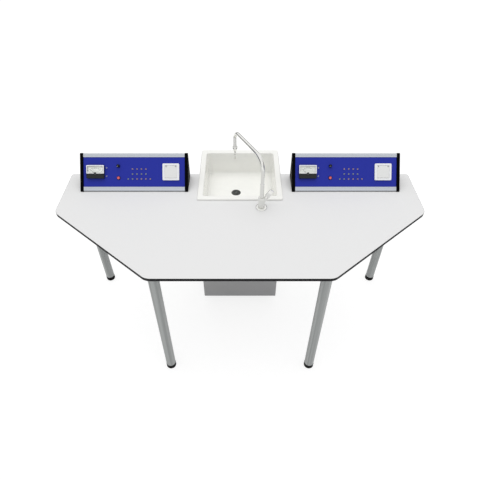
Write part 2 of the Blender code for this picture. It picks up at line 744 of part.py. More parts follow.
def waste(finishes):
    """Strainer with its tail, the nut that clamps it, and a bottle trap with its outlet pipe."""
    bore = TAIL_RADIUS - TAIL_WALL
    strainer = add("drain_strainer", turned([
        (STRAINER_RADIUS, 0),
        (STRAINER_RADIUS, -STRAINER_THICKNESS),
        (TAIL_RADIUS, -STRAINER_THICKNESS),
        (TAIL_RADIUS, -TAIL_LENGTH),
        (bore, -TAIL_LENGTH),
        (bore, -STRAINER_THICKNESS),
    ]), finishes["drain_plastic"], (*DRAIN, STRAINER_TOP_Z))
    cut(strainer, together([strainer_opening(i * math.pi / 2) for i in range(4)]))

    nut_top = BOWL_FLOOR_Z - BOWL_WALL - FIT
    nut_bore = TAIL_RADIUS + FIT
    add("drain_backnut", turned([
        (nut_bore, 0),
        (BACKNUT_RADIUS, 0),
        (BACKNUT_RADIUS, -BACKNUT_HEIGHT),
        (nut_bore, -BACKNUT_HEIGHT),
    ], wrap=True), finishes["drain_plastic"], (*DRAIN, nut_top))

    inner = TRAP_RADIUS - TRAP_WALL
    collar = TAIL_RADIUS + FIT
    shoulder = TRAP_RADIUS - TRAP_COLLAR_RADIUS
    trap = add("bottle_trap", turned([
        (TRAP_COLLAR_RADIUS - TRAP_WALL, -TRAP_HEIGHT + TRAP_WALL),
        (inner, -TRAP_HEIGHT + TRAP_WALL + shoulder),
        (inner, -TRAP_COLLAR_HEIGHT - TRAP_WALL - shoulder),
        (collar, -TRAP_COLLAR_HEIGHT),
        (collar, 0),
        (TRAP_COLLAR_RADIUS, 0),
        (TRAP_COLLAR_RADIUS, -TRAP_COLLAR_HEIGHT),
        (TRAP_RADIUS, -TRAP_COLLAR_HEIGHT - shoulder),
        (TRAP_RADIUS, -TRAP_HEIGHT + shoulder),
        (TRAP_COLLAR_RADIUS, -TRAP_HEIGHT),
    ]), finishes["trap_plastic"], (*DRAIN, trap_top_z()))
    run = CABINET_REAR_Y - DRAIN.y
    pipe = hole(WASTE_PIPE_RADIUS, inner + TRAP_WALL / 2, run, sides=ROUND_SIDES)
    bore_cut = hole(WASTE_PIPE_RADIUS - WASTE_PIPE_WALL, 0, run + CUT_PAST, sides=ROUND_SIDES)
    fuse(trap, moved(along_y(pipe), (0, 0, -TRAP_OUTLET_DROP)))
    cut(trap, moved(along_y(bore_cut), (0, 0, -TRAP_OUTLET_DROP)))


def boss_frame():
    """Frame of the tap's valve: its Z along the inclined boss, its X across the lever's blade."""
    along = Vector((math.cos(BOSS_RISE), 0, math.sin(BOSS_RISE)))
    toward_user = Vector((0, -1, 0))
    outward = along.cross(toward_user)
    across = toward_user * math.cos(LEVER_FACE_TURN) + outward * math.sin(LEVER_FACE_TURN)
    pivot = Vector((0, 0, BOSS_FOOT)) + along * BOSS_LENGTH
    return Matrix.Translation(pivot) @ Matrix((across, along.cross(across), along)).transposed().to_4x4()


def tap_body(frame, finishes):
    """Column with its shank below, a nipple for the spout on top and the inclined valve boss."""
    body = add("tap_body", turned([
        (NIPPLE_RADIUS, TAP_BODY_HEIGHT + NIPPLE_LENGTH),
        (NIPPLE_RADIUS, TAP_BODY_HEIGHT),
        (TAP_BODY_RADIUS - SINK_RIM_EASE / 2, TAP_BODY_HEIGHT),
        (TAP_BODY_RADIUS, TAP_BODY_HEIGHT - SINK_RIM_EASE / 2),
        (TAP_BODY_RADIUS, BODY_FOOT),
        (SHANK_RADIUS, BODY_FOOT),
        (SHANK_RADIUS, -SHANK_LENGTH),
        (SHANK_BORE, -SHANK_LENGTH),
        (SHANK_BORE, BODY_FOOT),
    ]), finishes["chrome"], (*TAP, TABLE_HEIGHT))
    mouth = arc((0, 0), BOSS_RADIUS, 0, math.pi / 2 - BOSS_MOUTH, 2)
    boss = turned([(BOSS_RADIUS, -BOSS_LENGTH), *mouth])
    bore = hole(BOSS_BORE, -BOSS_BORE_DEPTH, BOSS_RADIUS, sides=ROUND_SIDES)
    for shape in (boss, bore):
        bmesh.ops.transform(shape, matrix=frame, verts=shape.verts)
    fuse(body, boss)
    cut(body, bore)


def lever_blade(root):
    """Curved blade that rises from the hub and leans outward toward its square tip."""
    y = -root * math.sin(LEVER_ROOT_LEAN)
    z = root * math.cos(LEVER_ROOT_LEAN)
    rings = []
    for step in range(ARC_STEPS + 1):
        part = step / ARC_STEPS
        lean = LEVER_BLADE_LEAN - LEVER_BEND * part
        half = (LEVER_ROOT_WIDTH + (LEVER_TIP_WIDTH - LEVER_ROOT_WIDTH) * part) / 2
        thick = (LEVER_ROOT_THICKNESS + (LEVER_TIP_THICKNESS - LEVER_ROOT_THICKNESS) * part) / 2
        centre_y = y + LEVER_BEND_RADIUS * (math.cos(LEVER_BLADE_LEAN) - math.cos(lean))
        centre_z = z + LEVER_BEND_RADIUS * (math.sin(LEVER_BLADE_LEAN) - math.sin(lean))
        ring = []
        for x, across in rounded(rectangle(2 * half, 2 * thick, thick * 0.6), 1):
            ring.append((x, centre_y + across * math.cos(lean), centre_z + across * math.sin(lean)))
        rings.append(ring)
    return loft(rings)


def tap_valve(frame, finishes):
    """Cartridge that turns in the boss, and the lever that rocks in the cartridge's slot."""
    place = Matrix.Translation((*TAP, TABLE_HEIGHT)) @ frame
    low = -BOSS_BORE_DEPTH + FIT
    high = low + CARTRIDGE_LENGTH
    slot_floor = high - CARTRIDGE_SLOT_DEPTH
    radius = BOSS_BORE - FIT
    cartridge = add("tap_cartridge", hole(radius, low, high, sides=ROUND_SIDES), finishes["cartridge_plastic"])
    cartridge.matrix_basis = place
    slot = rectangle(2 * (LEVER_STEM_RADIUS + FIT), 4 * BOSS_BORE)
    cut(cartridge, prism(rounded(slot), slot_floor, high + CUT_PAST))

    inside = BOSS_RADIUS + RUNNING_GAP
    top = math.pi / 2
    rim = top - LEVER_HUB_COVER
    stem_turn = math.acos(LEVER_STEM_RADIUS / inside)
    outer = arc((0, 0), LEVER_HUB_RADIUS, top, rim, 4)
    inner = arc((0, 0), inside, rim, stem_turn, 2)
    stem_end = -math.sqrt((slot_floor + FIT) ** 2 - LEVER_STEM_RADIUS ** 2)
    lever = add("tap_lever", turned([
        (0, LEVER_HUB_RADIUS),
        *outer[1:],
        *inner,
        (LEVER_STEM_RADIUS, stem_end),
    ]), finishes["chrome"])
    lever.matrix_basis = place
    fuse(lever, lever_blade(inside + 2 * RUNNING_GAP))


def spout_stations():
    """Middle line of the spout as (reach, height, direction, radius)."""
    up = math.pi / 2
    foot_z = TAP_BODY_HEIGHT + FIT
    bore = NIPPLE_RADIUS + FIT
    neck = SPOUT_RADIUS + SPOUT_NECK_PROUD
    stations = [
        (0, foot_z + NIPPLE_LENGTH, up, bore),
        (0, foot_z, up, bore),
        (0, foot_z, up, neck),
        (0, SPOUT_NECK_TOP, up, neck),
        (0, SPOUT_NECK_TOP + SPOUT_NECK_PROUD, up, SPOUT_RADIUS),
    ]
    centre = (SPOUT_FIRST_BEND, SPOUT_ARM_HEIGHT - SPOUT_FIRST_BEND)
    for i, (x, z) in enumerate(arc(centre, SPOUT_FIRST_BEND, math.pi, up, BEND_STEPS)):
        stations.append((x, z, up - up * i / BEND_STEPS, SPOUT_RADIUS))
    centre = (SPOUT_REACH - SPOUT_LAST_BEND, SPOUT_ARM_HEIGHT - SPOUT_LAST_BEND)
    for i, (x, z) in enumerate(arc(centre, SPOUT_LAST_BEND, up, 0, BEND_STEPS)):
        stations.append((x, z, -up * i / BEND_STEPS, SPOUT_RADIUS))
    stations.append((SPOUT_REACH, SPOUT_OUTLET_HEIGHT, -up, SPOUT_RADIUS))
    return stations


def tap_spout(finishes):
    """Swivel spout: a neck that turns on the nipple, two bends and a drop over the drain."""
    rings = []
    for reach, height, direction, radius in spout_stations():
        across = (-math.sin(direction) * radius, math.cos(direction) * radius)
        ring = []
        for i in range(SLIM_SIDES):
            turn = 2 * math.pi * i / SLIM_SIDES
            x = reach + across[0] * math.cos(turn)
            z = height + across[1] * math.cos(turn)
            ring.append((x, radius * math.sin(turn), z))
        rings.append(ring)
    spout = add("tap_spout", loft(rings), finishes["chrome"], (*TAP, TABLE_HEIGHT))
    spout.rotation_euler.z = math.pi / 2 + SPOUT_TURN

    socket = SPOUT_RADIUS + FIT
    tail_top = -NOZZLE_CONE
    barb = (NOZZLE_TAIL - NOZZLE_BORE) / NOZZLE_BARBS
    thin = NOZZLE_TAIL_RADIUS - NOZZLE_BORE / 4
    tail = []
    for i in range(NOZZLE_BARBS):
        tail.append((thin, tail_top - i * barb))
        tail.append((NOZZLE_TAIL_RADIUS + NOZZLE_BORE / 4, tail_top - i * barb - barb / 4))
    nozzle = add("tap_nozzle", turned([
        (socket, NOZZLE_GRIP),
        (SPOUT_RADIUS + NOZZLE_PROUD / 2, NOZZLE_GRIP),
        (SPOUT_RADIUS + NOZZLE_PROUD, NOZZLE_GRIP * 0.75),
        (SPOUT_RADIUS + NOZZLE_PROUD, 0),
        *tail,
        (thin, tail_top - NOZZLE_TAIL),
        (NOZZLE_BORE, tail_top - NOZZLE_TAIL),
        (NOZZLE_BORE, -FIT),
        (socket, -FIT),
    ], SLIM_SIDES, wrap=True), finishes["chrome"], (SPOUT_REACH, 0, SPOUT_OUTLET_HEIGHT), spout)
    return nozzle


def tap(finishes):
    """Single-lever swivel tap on the worktop in front of the sink."""
    ease = ROSETTE_HEIGHT / 2
    bore = SHANK_RADIUS + FIT
    add("tap_rosette", turned([
        (bore, ROSETTE_HEIGHT),
        (TAP_BODY_RADIUS + ease, ROSETTE_HEIGHT),
        (ROSETTE_RADIUS - ease / 2, ease),
        (ROSETTE_RADIUS, ease / 2),
        (ROSETTE_RADIUS, 0),
        (bore, 0),
    ], ROUND_SIDES, wrap=True), finishes["chrome"], (*TAP, TABLE_HEIGHT + FIT))
    corner = TAP_NUT_FLATS / math.sqrt(3)
    nut = add("tap_backnut", prism(arc((0, 0), corner, 0, math.pi * 5 / 3, 5), -TAP_NUT_HEIGHT, 0),
              finishes["brass"], (*TAP, UNDERSIDE - FIT))
    cut(nut, hole(bore, -TAP_NUT_HEIGHT - CUT_PAST, CUT_PAST, sides=ROUND_SIDES))
    frame = boss_frame()
    tap_body(frame, finishes)
    tap_valve(frame, finishes)
    tap_spout(finishes)


def on_face(along, depth):
    """Point (y, z) of the console's profile, a distance up its face and a depth below it."""
    y = along * math.cos(FACE_ANGLE) + depth * math.sin(FACE_ANGLE) - CONSOLE_DEPTH
    z = along * math.sin(FACE_ANGLE) - depth * math.cos(FACE_ANGLE) + CONSOLE_NOSE
    return y, z


def housing_outline():
    """Extruded section: an open hollow wedge with a grooved lip below and above the panel."""
    groove_back = LIP_THICKNESS + PANEL_THICKNESS + 2 * FIT
    inside = groove_back + LIP_BACK
    low_end = (PROFILE_WALL - CONSOLE_NOSE + inside * math.cos(FACE_ANGLE)) / math.sin(FACE_ANGLE)
    high_end = (CONSOLE_DEPTH - PROFILE_WALL - inside * math.sin(FACE_ANGLE)) / math.cos(FACE_ANGLE)
    outside = rounded([
        (*on_face(PANEL_LOW, 0), 0),
        (-CONSOLE_DEPTH, CONSOLE_NOSE, CONSOLE_CORNER),
        (-CONSOLE_DEPTH, 0, CONSOLE_CORNER / 2),
        (0, 0, CONSOLE_CORNER / 2),
        (0, CONSOLE_HEIGHT, CONSOLE_CORNER),
        (-CONSOLE_TOP_FLAT, CONSOLE_HEIGHT, CONSOLE_CORNER),
        (*on_face(PANEL_HIGH, 0), 0),
    ], 2)
    return [
        *outside,
        on_face(PANEL_HIGH, LIP_THICKNESS),
        on_face(PANEL_HIGH + GROOVE_DEPTH, LIP_THICKNESS),
        on_face(PANEL_HIGH + GROOVE_DEPTH, groove_back),
        on_face(PANEL_HIGH, groove_back),
        on_face(PANEL_HIGH, inside),
        on_face(high_end, inside),
        (-PROFILE_WALL, PROFILE_WALL),
        on_face(low_end, inside),
        on_face(PANEL_LOW, inside),
        on_face(PANEL_LOW, groove_back),
        on_face(PANEL_LOW - GROOVE_DEPTH, groove_back),
        on_face(PANEL_LOW - GROOVE_DEPTH, LIP_THICKNESS),
        on_face(PANEL_LOW, LIP_THICKNESS),
    ]


def cap_outline():
    """Section of an end cap, a little proud of the extrusion on every side but the bottom."""
    lean_low = CAP_PROUD * (1 - math.sin(FACE_ANGLE)) / math.cos(FACE_ANGLE)
    lean_high = CAP_PROUD * (1 - math.cos(FACE_ANGLE)) / math.sin(FACE_ANGLE)
    return rounded([
        (CAP_PROUD, 0, CAP_CORNER / 3),
        (CAP_PROUD, CONSOLE_HEIGHT + CAP_PROUD, CAP_CORNER / 2),
        (-CONSOLE_TOP_FLAT - lean_high, CONSOLE_HEIGHT + CAP_PROUD, CAP_CORNER),
        (-CONSOLE_DEPTH - CAP_PROUD, CONSOLE_NOSE + lean_low, CAP_CORNER),
        (-CONSOLE_DEPTH - CAP_PROUD, 0, CAP_CORNER / 6),
    ], 2)


def jack_spots():
    """Jack centres on the panel: a field of three rows and a pair beside the meter."""
    rows = [JACK_MIDDLE_ROW + JACK_ROW_PITCH * step for step in (1, 0, -1)]
    spots = []
    for row, y in enumerate(rows):
        wide = row == len(rows) - 1
        columns = range(JACK_COLUMNS) if wide else range(1, JACK_COLUMNS - 1)
        spots += [(JACK_FIRST_X + JACK_PITCH * column, y) for column in columns]
    spots += [(METER_JACK_X, sign * METER_JACK_HALF_PITCH) for sign in (1, -1)]
    return spots


def console_shell(side, base, finishes):
    """Aluminium extrusion with a moulded cap on each end."""
    half = PROFILE_LENGTH / 2
    housing = add(f"{side}_console_housing", along_x(prism(housing_outline(), -half, half)),
                  finishes["aluminium"], parent=base)
    cut(housing, hole(CABLE_HOLE_RADIUS, -CUT_PAST, PROFILE_WALL + CUT_PAST, (0, -CONSOLE_DEPTH / 2)))
    for end, x in (("left", -CONSOLE_LENGTH / 2), ("right", CONSOLE_LENGTH / 2 - CAP_THICKNESS)):
        cap = eased(prism(cap_outline(), 0, CAP_THICKNESS), CAP_EASE)
        add(f"{side}_console_cap_{end}", along_x(cap), finishes["cap_plastic"], (x, 0, 0), base)


def console_panel(side, face, finishes):
    """Blue front panel that slides into the grooves, with a hole for everything it carries."""
    edge = GROOVE_DEPTH - PANEL_PLAY
    low = PANEL_LOW - PANEL_MIDDLE - edge
    high = PANEL_HIGH - PANEL_MIDDLE + edge
    sheet = rounded(rectangle(PROFILE_LENGTH, high - low, centre=(0, (low + high) / 2)))
    panel = add(f"{side}_console_panel", prism(sheet, -PANEL_THICKNESS, 0), finishes["panel_blue"], parent=face)
    bottom = -PANEL_THICKNESS - CUT_PAST
    holes = [hole(JACK_RADIUS + FIT, bottom, CUT_PAST, spot, JACK_SIDES) for spot in jack_spots()]
    holes += [
        hole(METER_BODY_RADIUS + FIT, bottom, CUT_PAST, (METER_X, 0)),
        hole(OUTLET_BODY_RADIUS + FIT, bottom, CUT_PAST, (OUTLET_X, 0)),
        hole(KNOB_SHAFT_RADIUS + FIT, bottom, CUT_PAST, (CONTROL_X, CONTROL_HALF_PITCH), SLIM_SIDES),
        hole(BUTTON_RADIUS + FIT, bottom, CUT_PAST, (CONTROL_X, -CONTROL_HALF_PITCH), SLIM_SIDES),
    ]
    cut(panel, together(holes))


def console_jacks(side, face, finishes):
    """Circuit board behind the panel with the jack sleeves that stand through it."""
    spots = jack_spots()
    lefts = [x for x, y in spots]
    heights = [y for x, y in spots] + [CONTROL_HALF_PITCH, -CONTROL_HALF_PITCH]
    reach = JACK_RADIUS + BOARD_BORDER
    width = max(lefts) - min(lefts) + 2 * reach
    height = max(heights) - min(heights) + 2 * reach
    middle = ((max(lefts) + min(lefts)) / 2, (max(heights) + min(heights)) / 2)
    sheet = rounded(rectangle(width, height, centre=middle))
    jacks = add(f"{side}_jack_board", prism(sheet, BOARD_TOP - BOARD_THICKNESS, BOARD_TOP),
                finishes["jack_metal"], parent=face)
    root = BOARD_TOP - BOARD_THICKNESS / 2
    floor = JACK_HEIGHT - JACK_BORE_DEPTH
    sleeve = [(JACK_RADIUS, root), (JACK_RADIUS, JACK_HEIGHT), (JACK_BORE, JACK_HEIGHT), (JACK_BORE, floor)]
    fuse(jacks, together([moved(turned(sleeve, JACK_SIDES), (*spot, 0)) for spot in spots]))


def console_controls(side, face, finishes):
    """Turning knob above and push button below, both guided by the panel."""
    skirt = KNOB_RADIUS * 0.9
    crown = KNOB_LIFT + KNOB_HEIGHT
    add(f"{side}_knob", turned([
        (skirt - CAP_EASE, crown),
        (skirt, crown - CAP_EASE),
        (KNOB_RADIUS, KNOB_LIFT + KNOB_HEIGHT / 4),
        (KNOB_RADIUS, KNOB_LIFT),
        (KNOB_SHAFT_RADIUS, KNOB_LIFT),
        (KNOB_SHAFT_RADIUS, -KNOB_SHAFT_LENGTH),
    ], SLIM_SIDES), finishes["knob_plastic"], (CONTROL_X, CONTROL_HALF_PITCH, 0), face)
    crown = arc((BUTTON_RADIUS - CAP_EASE, BUTTON_HEIGHT - CAP_EASE), CAP_EASE, math.pi / 2, 0, 2)
    add(f"{side}_push_button", turned([
        *crown,
        (BUTTON_RADIUS, -BUTTON_LENGTH),
    ], SLIM_SIDES), finishes["button_red"], (CONTROL_X, -CONTROL_HALF_PITCH, 0), face)


def console_meter(side, face, finishes):
    """Moving-coil panel meter: case, dial, needle on its pivot and clear cover."""
    meter = empty(f"{side}_meter", (METER_X, 0, 0), face)
    inset = 2 * (METER_COVER_WALL + FIT)
    width = METER_WIDTH - inset
    height = METER_HEIGHT - inset
    corner = METER_COVER_CORNER - METER_COVER_WALL
    plate = rounded(rectangle(width, height, corner), 3)
    case = add(f"{side}_meter_case", prism(plate, FIT, METER_PLATE), finishes["meter_plastic"], parent=meter)
    fuse(case, hole(METER_BODY_RADIUS, -METER_BODY_DEPTH, METER_PLATE / 2))
    dial_width = width - 2 * DIAL_BORDER
    dial_height = height - 2 * DIAL_BORDER
    seat_top = METER_PLATE + METER_SEAT
    seat = rounded(rectangle(dial_width - DIAL_BORDER, dial_height - DIAL_BORDER))
    pivot = (0, -NEEDLE_PIVOT_DROP)
    bearing = NEEDLE_SHAFT_RADIUS + FIT
    fuse(case, prism(seat, METER_PLATE / 2, seat_top))
    dial_low = seat_top + FIT
    dial_top = dial_low + DIAL_THICKNESS
    needle_z = dial_top + NEEDLE_LIFT
    cut(case, hole(bearing, needle_z - NEEDLE_SHAFT_LENGTH - FIT, needle_z, pivot, JACK_SIDES))

    sheet = rounded(rectangle(dial_width, dial_height, corner), 3)
    dial = add(f"{side}_meter_dial", prism(sheet, dial_low, dial_top), finishes["dial_white"], parent=meter)
    cut(dial, hole(bearing, dial_low - CUT_PAST, dial_top + CUT_PAST, pivot, JACK_SIDES))

    half = NEEDLE_WIDTH / 2
    blade = [(-half, -NEEDLE_TAIL), (half, -NEEDLE_TAIL), (half / 2, NEEDLE_LENGTH), (-half / 2, NEEDLE_LENGTH)]
    needle = add(f"{side}_meter_needle", turned([
        (NEEDLE_HUB_RADIUS, NEEDLE_HUB_HEIGHT),
        (NEEDLE_HUB_RADIUS, 0),
        (NEEDLE_SHAFT_RADIUS, 0),
        (NEEDLE_SHAFT_RADIUS, -NEEDLE_SHAFT_LENGTH),
    ], JACK_SIDES), finishes["needle_black"], (*pivot, needle_z), meter)
    blade_low = (NEEDLE_HUB_HEIGHT - NEEDLE_THICKNESS) / 2
    fuse(needle, prism(blade, blade_low, blade_low + NEEDLE_THICKNESS))
    needle.rotation_euler.z = NEEDLE_REST

    outside = rounded(rectangle(METER_WIDTH, METER_HEIGHT, METER_COVER_CORNER), 3)
    inside = rounded(rectangle(METER_WIDTH - 2 * METER_COVER_WALL, METER_HEIGHT - 2 * METER_COVER_WALL, corner), 3)
    roof = METER_DEPTH - METER_COVER_WALL
    add(f"{side}_meter_cover", loft([
        [(x, y, roof) for x, y in inside],
        [(x, y, FIT) for x, y in inside],
        [(x, y, FIT) for x, y in outside],
        [(x, y, METER_DEPTH) for x, y in outside],
    ]), finishes["clear_plastic"], parent=meter)


def lug_outline(width, length, top):
    """Rectangles at the two hinge lugs, measured down from the top edge of the lid's recess."""
    return [rectangle(width, length, centre=(sign * LID_LUG_X, top - length / 2)) for sign in (-1, 1)]


def console_outlet(side, face, finishes):
    """Mains outlet with a round well and a hinged lid that lies flush in its plate."""
    outlet = empty(f"{side}_outlet", (OUTLET_X, 0, 0), face)
    plate = rounded(rectangle(OUTLET_SIZE, OUTLET_SIZE, OUTLET_CORNER), 3)
    base = add(f"{side}_outlet_base", eased(prism(plate, FIT, OUTLET_THICKNESS), OUTLET_EASE),
               finishes["outlet_white"], parent=outlet)
    fuse(base, hole(OUTLET_BODY_RADIUS, -OUTLET_BODY_DEPTH, RECESS_FLOOR / 2))
    recess_top = LID_HEIGHT / 2 + LID_GAP
    recess_x = LID_WIDTH / 2 + LID_GAP
    lug_foot = recess_top - LID_LUG_LENGTH
    half_lug = LID_LUG_WIDTH / 2
    recess = [(-recess_x, -recess_top), (recess_x, -recess_top), (recess_x, recess_top)]
    for x in (LID_LUG_X, -LID_LUG_X):
        recess += [(x + half_lug, recess_top), (x + half_lug, lug_foot)]
        recess += [(x - half_lug, lug_foot), (x - half_lug, recess_top)]
    recess.append((-recess_x, recess_top))
    cut(base, prism(recess, RECESS_FLOOR, OUTLET_THICKNESS + CUT_PAST))
    well_floor = RECESS_FLOOR - WELL_DEPTH
    cut(base, hole(WELL_RADIUS, well_floor, RECESS_FLOOR + CUT_PAST / 2, sides=ROUND_SIDES))
    pins = [(sign * PIN_HALF_PITCH, 0) for sign in (-1, 1)]
    pin_low = well_floor - PIN_HOLE_DEPTH
    cut(base, together([hole(PIN_HOLE_RADIUS, pin_low, well_floor + CUT_PAST / 2, at, JACK_SIDES) for at in pins]))

    half = LID_THICKNESS / 2
    section = [*arc((0, 0), half, -math.pi / 2, math.pi / 2, 2 * ARC_STEPS), (half - LID_HEIGHT, half),
               (half - LID_HEIGHT, -half)]
    lid = add(f"{side}_outlet_lid", along_x(prism(section, -LID_WIDTH / 2, LID_WIDTH / 2)),
              finishes["outlet_white"], (0, LID_AXIS_W, LID_AXIS_Z), outlet)
    slot_width = LID_LUG_WIDTH + 2 * LID_GAP
    slots = []
    for corners in lug_outline(slot_width, LID_SLOT_LENGTH + CUT_PAST, half + CUT_PAST):
        slots.append(prism(rounded(corners), -LID_THICKNESS, LID_THICKNESS))
    cut(lid, together(slots))


def console_transformer(side, base, finishes):
    """Mains transformer on the floor of the extrusion: a laminated core with its coil."""
    core = CORE_LENGTH / 2
    coil = COIL_LENGTH / 2
    low = (CORE_HEIGHT - COIL_HEIGHT) / 2
    high = low + COIL_HEIGHT
    outline = [(-core, 0), (core, 0), (core, low), (coil, low), (coil, high), (core, high), (core, CORE_HEIGHT),
               (-core, CORE_HEIGHT), (-core, high), (-coil, high), (-coil, low), (-core, low)]
    block = prism(outline, 0, CORE_DEPTH)
    bmesh.ops.rotate(block, matrix=Matrix.Rotation(math.pi / 2, 3, "X"), verts=block.verts)
    rear = -PROFILE_WALL - CORE_REAR_GAP
    add(f"{side}_transformer", block, finishes["transformer_steel"], (CORE_X, rear, PROFILE_WALL + FIT), base)


def console(side, x, finishes):
    """One instrument console, standing on the worktop near its rear edge."""
    base = empty(f"{side}_console", (x, REAR_Y - CONSOLE_SETBACK, TABLE_HEIGHT + FIT))
    face_y, face_z = on_face(PANEL_MIDDLE, -PANEL_Z)
    face = empty(f"{side}_console_face", (0, face_y, face_z), base)
    face.rotation_euler.x = FACE_ANGLE
    console_shell(side, base, finishes)
    console_panel(side, face, finishes)
    console_meter(side, face, finishes)
    console_controls(side, face, finishes)
    console_jacks(side, face, finishes)
    console_outlet(side, face, finishes)
    console_transformer(side, base, finishes)


def all_finishes():
    """One finish for each material that the table is made of."""
    return {
        "laminate": finish("laminate", srgb(234, 234, 234), 0.45),
        "frame_paint": finish("frame_paint", srgb(158, 160, 160), 0.40),
        "foot_plastic": finish("foot_plastic", srgb(24, 24, 25), 0.55),
        "cabinet_paint": finish("cabinet_paint", srgb(134, 135, 135), 0.45),
        "plinth_paint": finish("plinth_paint", srgb(60, 61, 62), 0.55),
        "glaze": finish("glaze", srgb(246, 246, 240), 0.12),
        "drain_plastic": finish("drain_plastic", srgb(74, 76, 74), 0.40),
        "trap_plastic": finish("trap_plastic", srgb(225, 226, 226), 0.45),
        "chrome": finish("chrome", srgb(205, 206, 208), 0.08, 1.0),
        "brass": finish("brass", srgb(190, 150, 84), 0.30, 1.0),
        "cartridge_plastic": finish("cartridge_plastic", srgb(200, 200, 196), 0.45),
        "aluminium": finish("aluminium", srgb(206, 207, 210), 0.32, 1.0),
        "cap_plastic": finish("cap_plastic", srgb(14, 14, 15), 0.45),
        "panel_blue": finish("panel_blue", srgb(47, 58, 155), 0.42),
        "meter_plastic": finish("meter_plastic", srgb(40, 42, 44), 0.45),
        "dial_white": finish("dial_white", srgb(240, 240, 236), 0.55),
        "needle_black": finish("needle_black", srgb(20, 20, 20), 0.45),
        "clear_plastic": finish("clear_plastic", srgb(244, 246, 247), 0.06),
        "knob_plastic": finish("knob_plastic", srgb(24, 25, 32), 0.40),
        "button_red": finish("button_red", srgb(200, 60, 70), 0.35),
        "jack_metal": finish("jack_metal", srgb(214, 216, 226), 0.30, 1.0),
        "outlet_white": finish("outlet_white", srgb(240, 241, 244), 0.35),
        "transformer_steel": finish("transformer_steel", srgb(110, 104, 98), 0.50, 1.0),
    }


def main():
    for item in list(bpy.data.objects):
        bpy.data.objects.remove(item, do_unlink=True)
    finishes = all_finishes()
    worktop(finishes)
    under_frame(finishes)
    service_cabinet(finishes)
    sink(finishes)
    waste(finishes)
    tap(finishes)
    console("left", -CONSOLE_X, finishes)
    console("right", CONSOLE_X, finishes)


main()
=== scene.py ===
import math

import bmesh
import bpy
from mathutils import Matrix, Vector


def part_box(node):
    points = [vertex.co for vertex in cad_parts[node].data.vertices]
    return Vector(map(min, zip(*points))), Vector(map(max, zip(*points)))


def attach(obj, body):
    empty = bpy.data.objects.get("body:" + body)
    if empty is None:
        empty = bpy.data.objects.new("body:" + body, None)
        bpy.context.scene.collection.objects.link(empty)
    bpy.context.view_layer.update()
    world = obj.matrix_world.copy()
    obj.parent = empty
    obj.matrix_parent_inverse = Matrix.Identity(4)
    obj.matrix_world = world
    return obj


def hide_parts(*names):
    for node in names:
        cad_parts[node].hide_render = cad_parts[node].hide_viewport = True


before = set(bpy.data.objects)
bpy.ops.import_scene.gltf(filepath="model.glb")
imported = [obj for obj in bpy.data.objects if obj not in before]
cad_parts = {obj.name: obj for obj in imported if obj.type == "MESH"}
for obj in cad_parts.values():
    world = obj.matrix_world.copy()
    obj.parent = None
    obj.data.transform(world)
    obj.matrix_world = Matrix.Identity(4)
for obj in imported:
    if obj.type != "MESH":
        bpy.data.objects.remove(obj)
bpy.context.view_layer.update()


# Worktop
# A compact laminate slab: a dark resin core pressed between two pale melamine faces, sawn to half
# an octagon with rounded corners. Its edges are milled to a small ease and the core is left bare.
slab_low, slab_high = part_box("worktop")
front_edge = 0.804
side_edge = 0.320
front_corner = 0.060
rear_corner = 0.012
notch_half_width = 0.202
notch_depth = 0.213
notch_corner = 0.022
slab_ease = 0.0012
tap_spot = Vector((0.106, -0.019))
tap_hole = 0.015
cable_spots = [(-0.546, 0.1731), (0.546, 0.1731)]
cable_hole = 0.015
face_up = 0.99
weld = 1e-6
turn = 2 * math.pi
quarter = turn / 4


def srgb(red, green, blue):
    """Linear colour from 8-bit display values."""
    def linear(value):
        level = value / 255
        return level / 12.92 if level <= 0.04045 else ((level + 0.055) / 1.055) ** 2.4
    return linear(red), linear(green), linear(blue)


def finish(name, colour, roughness, metallic=0.0, gloss=0.5):
    """Material of one finish, even all over until grain() is worked into it."""
    material = bpy.data.materials.new(name)
    material.use_nodes = True
    shader = material.node_tree.nodes["Principled BSDF"]
    shader.inputs["Base Color"].default_value = (*colour, 1)
    shader.inputs["Roughness"].default_value = roughness
    shader.inputs["Metallic"].default_value = metallic
    shader.inputs["Specular IOR Level"].default_value = gloss
    return material


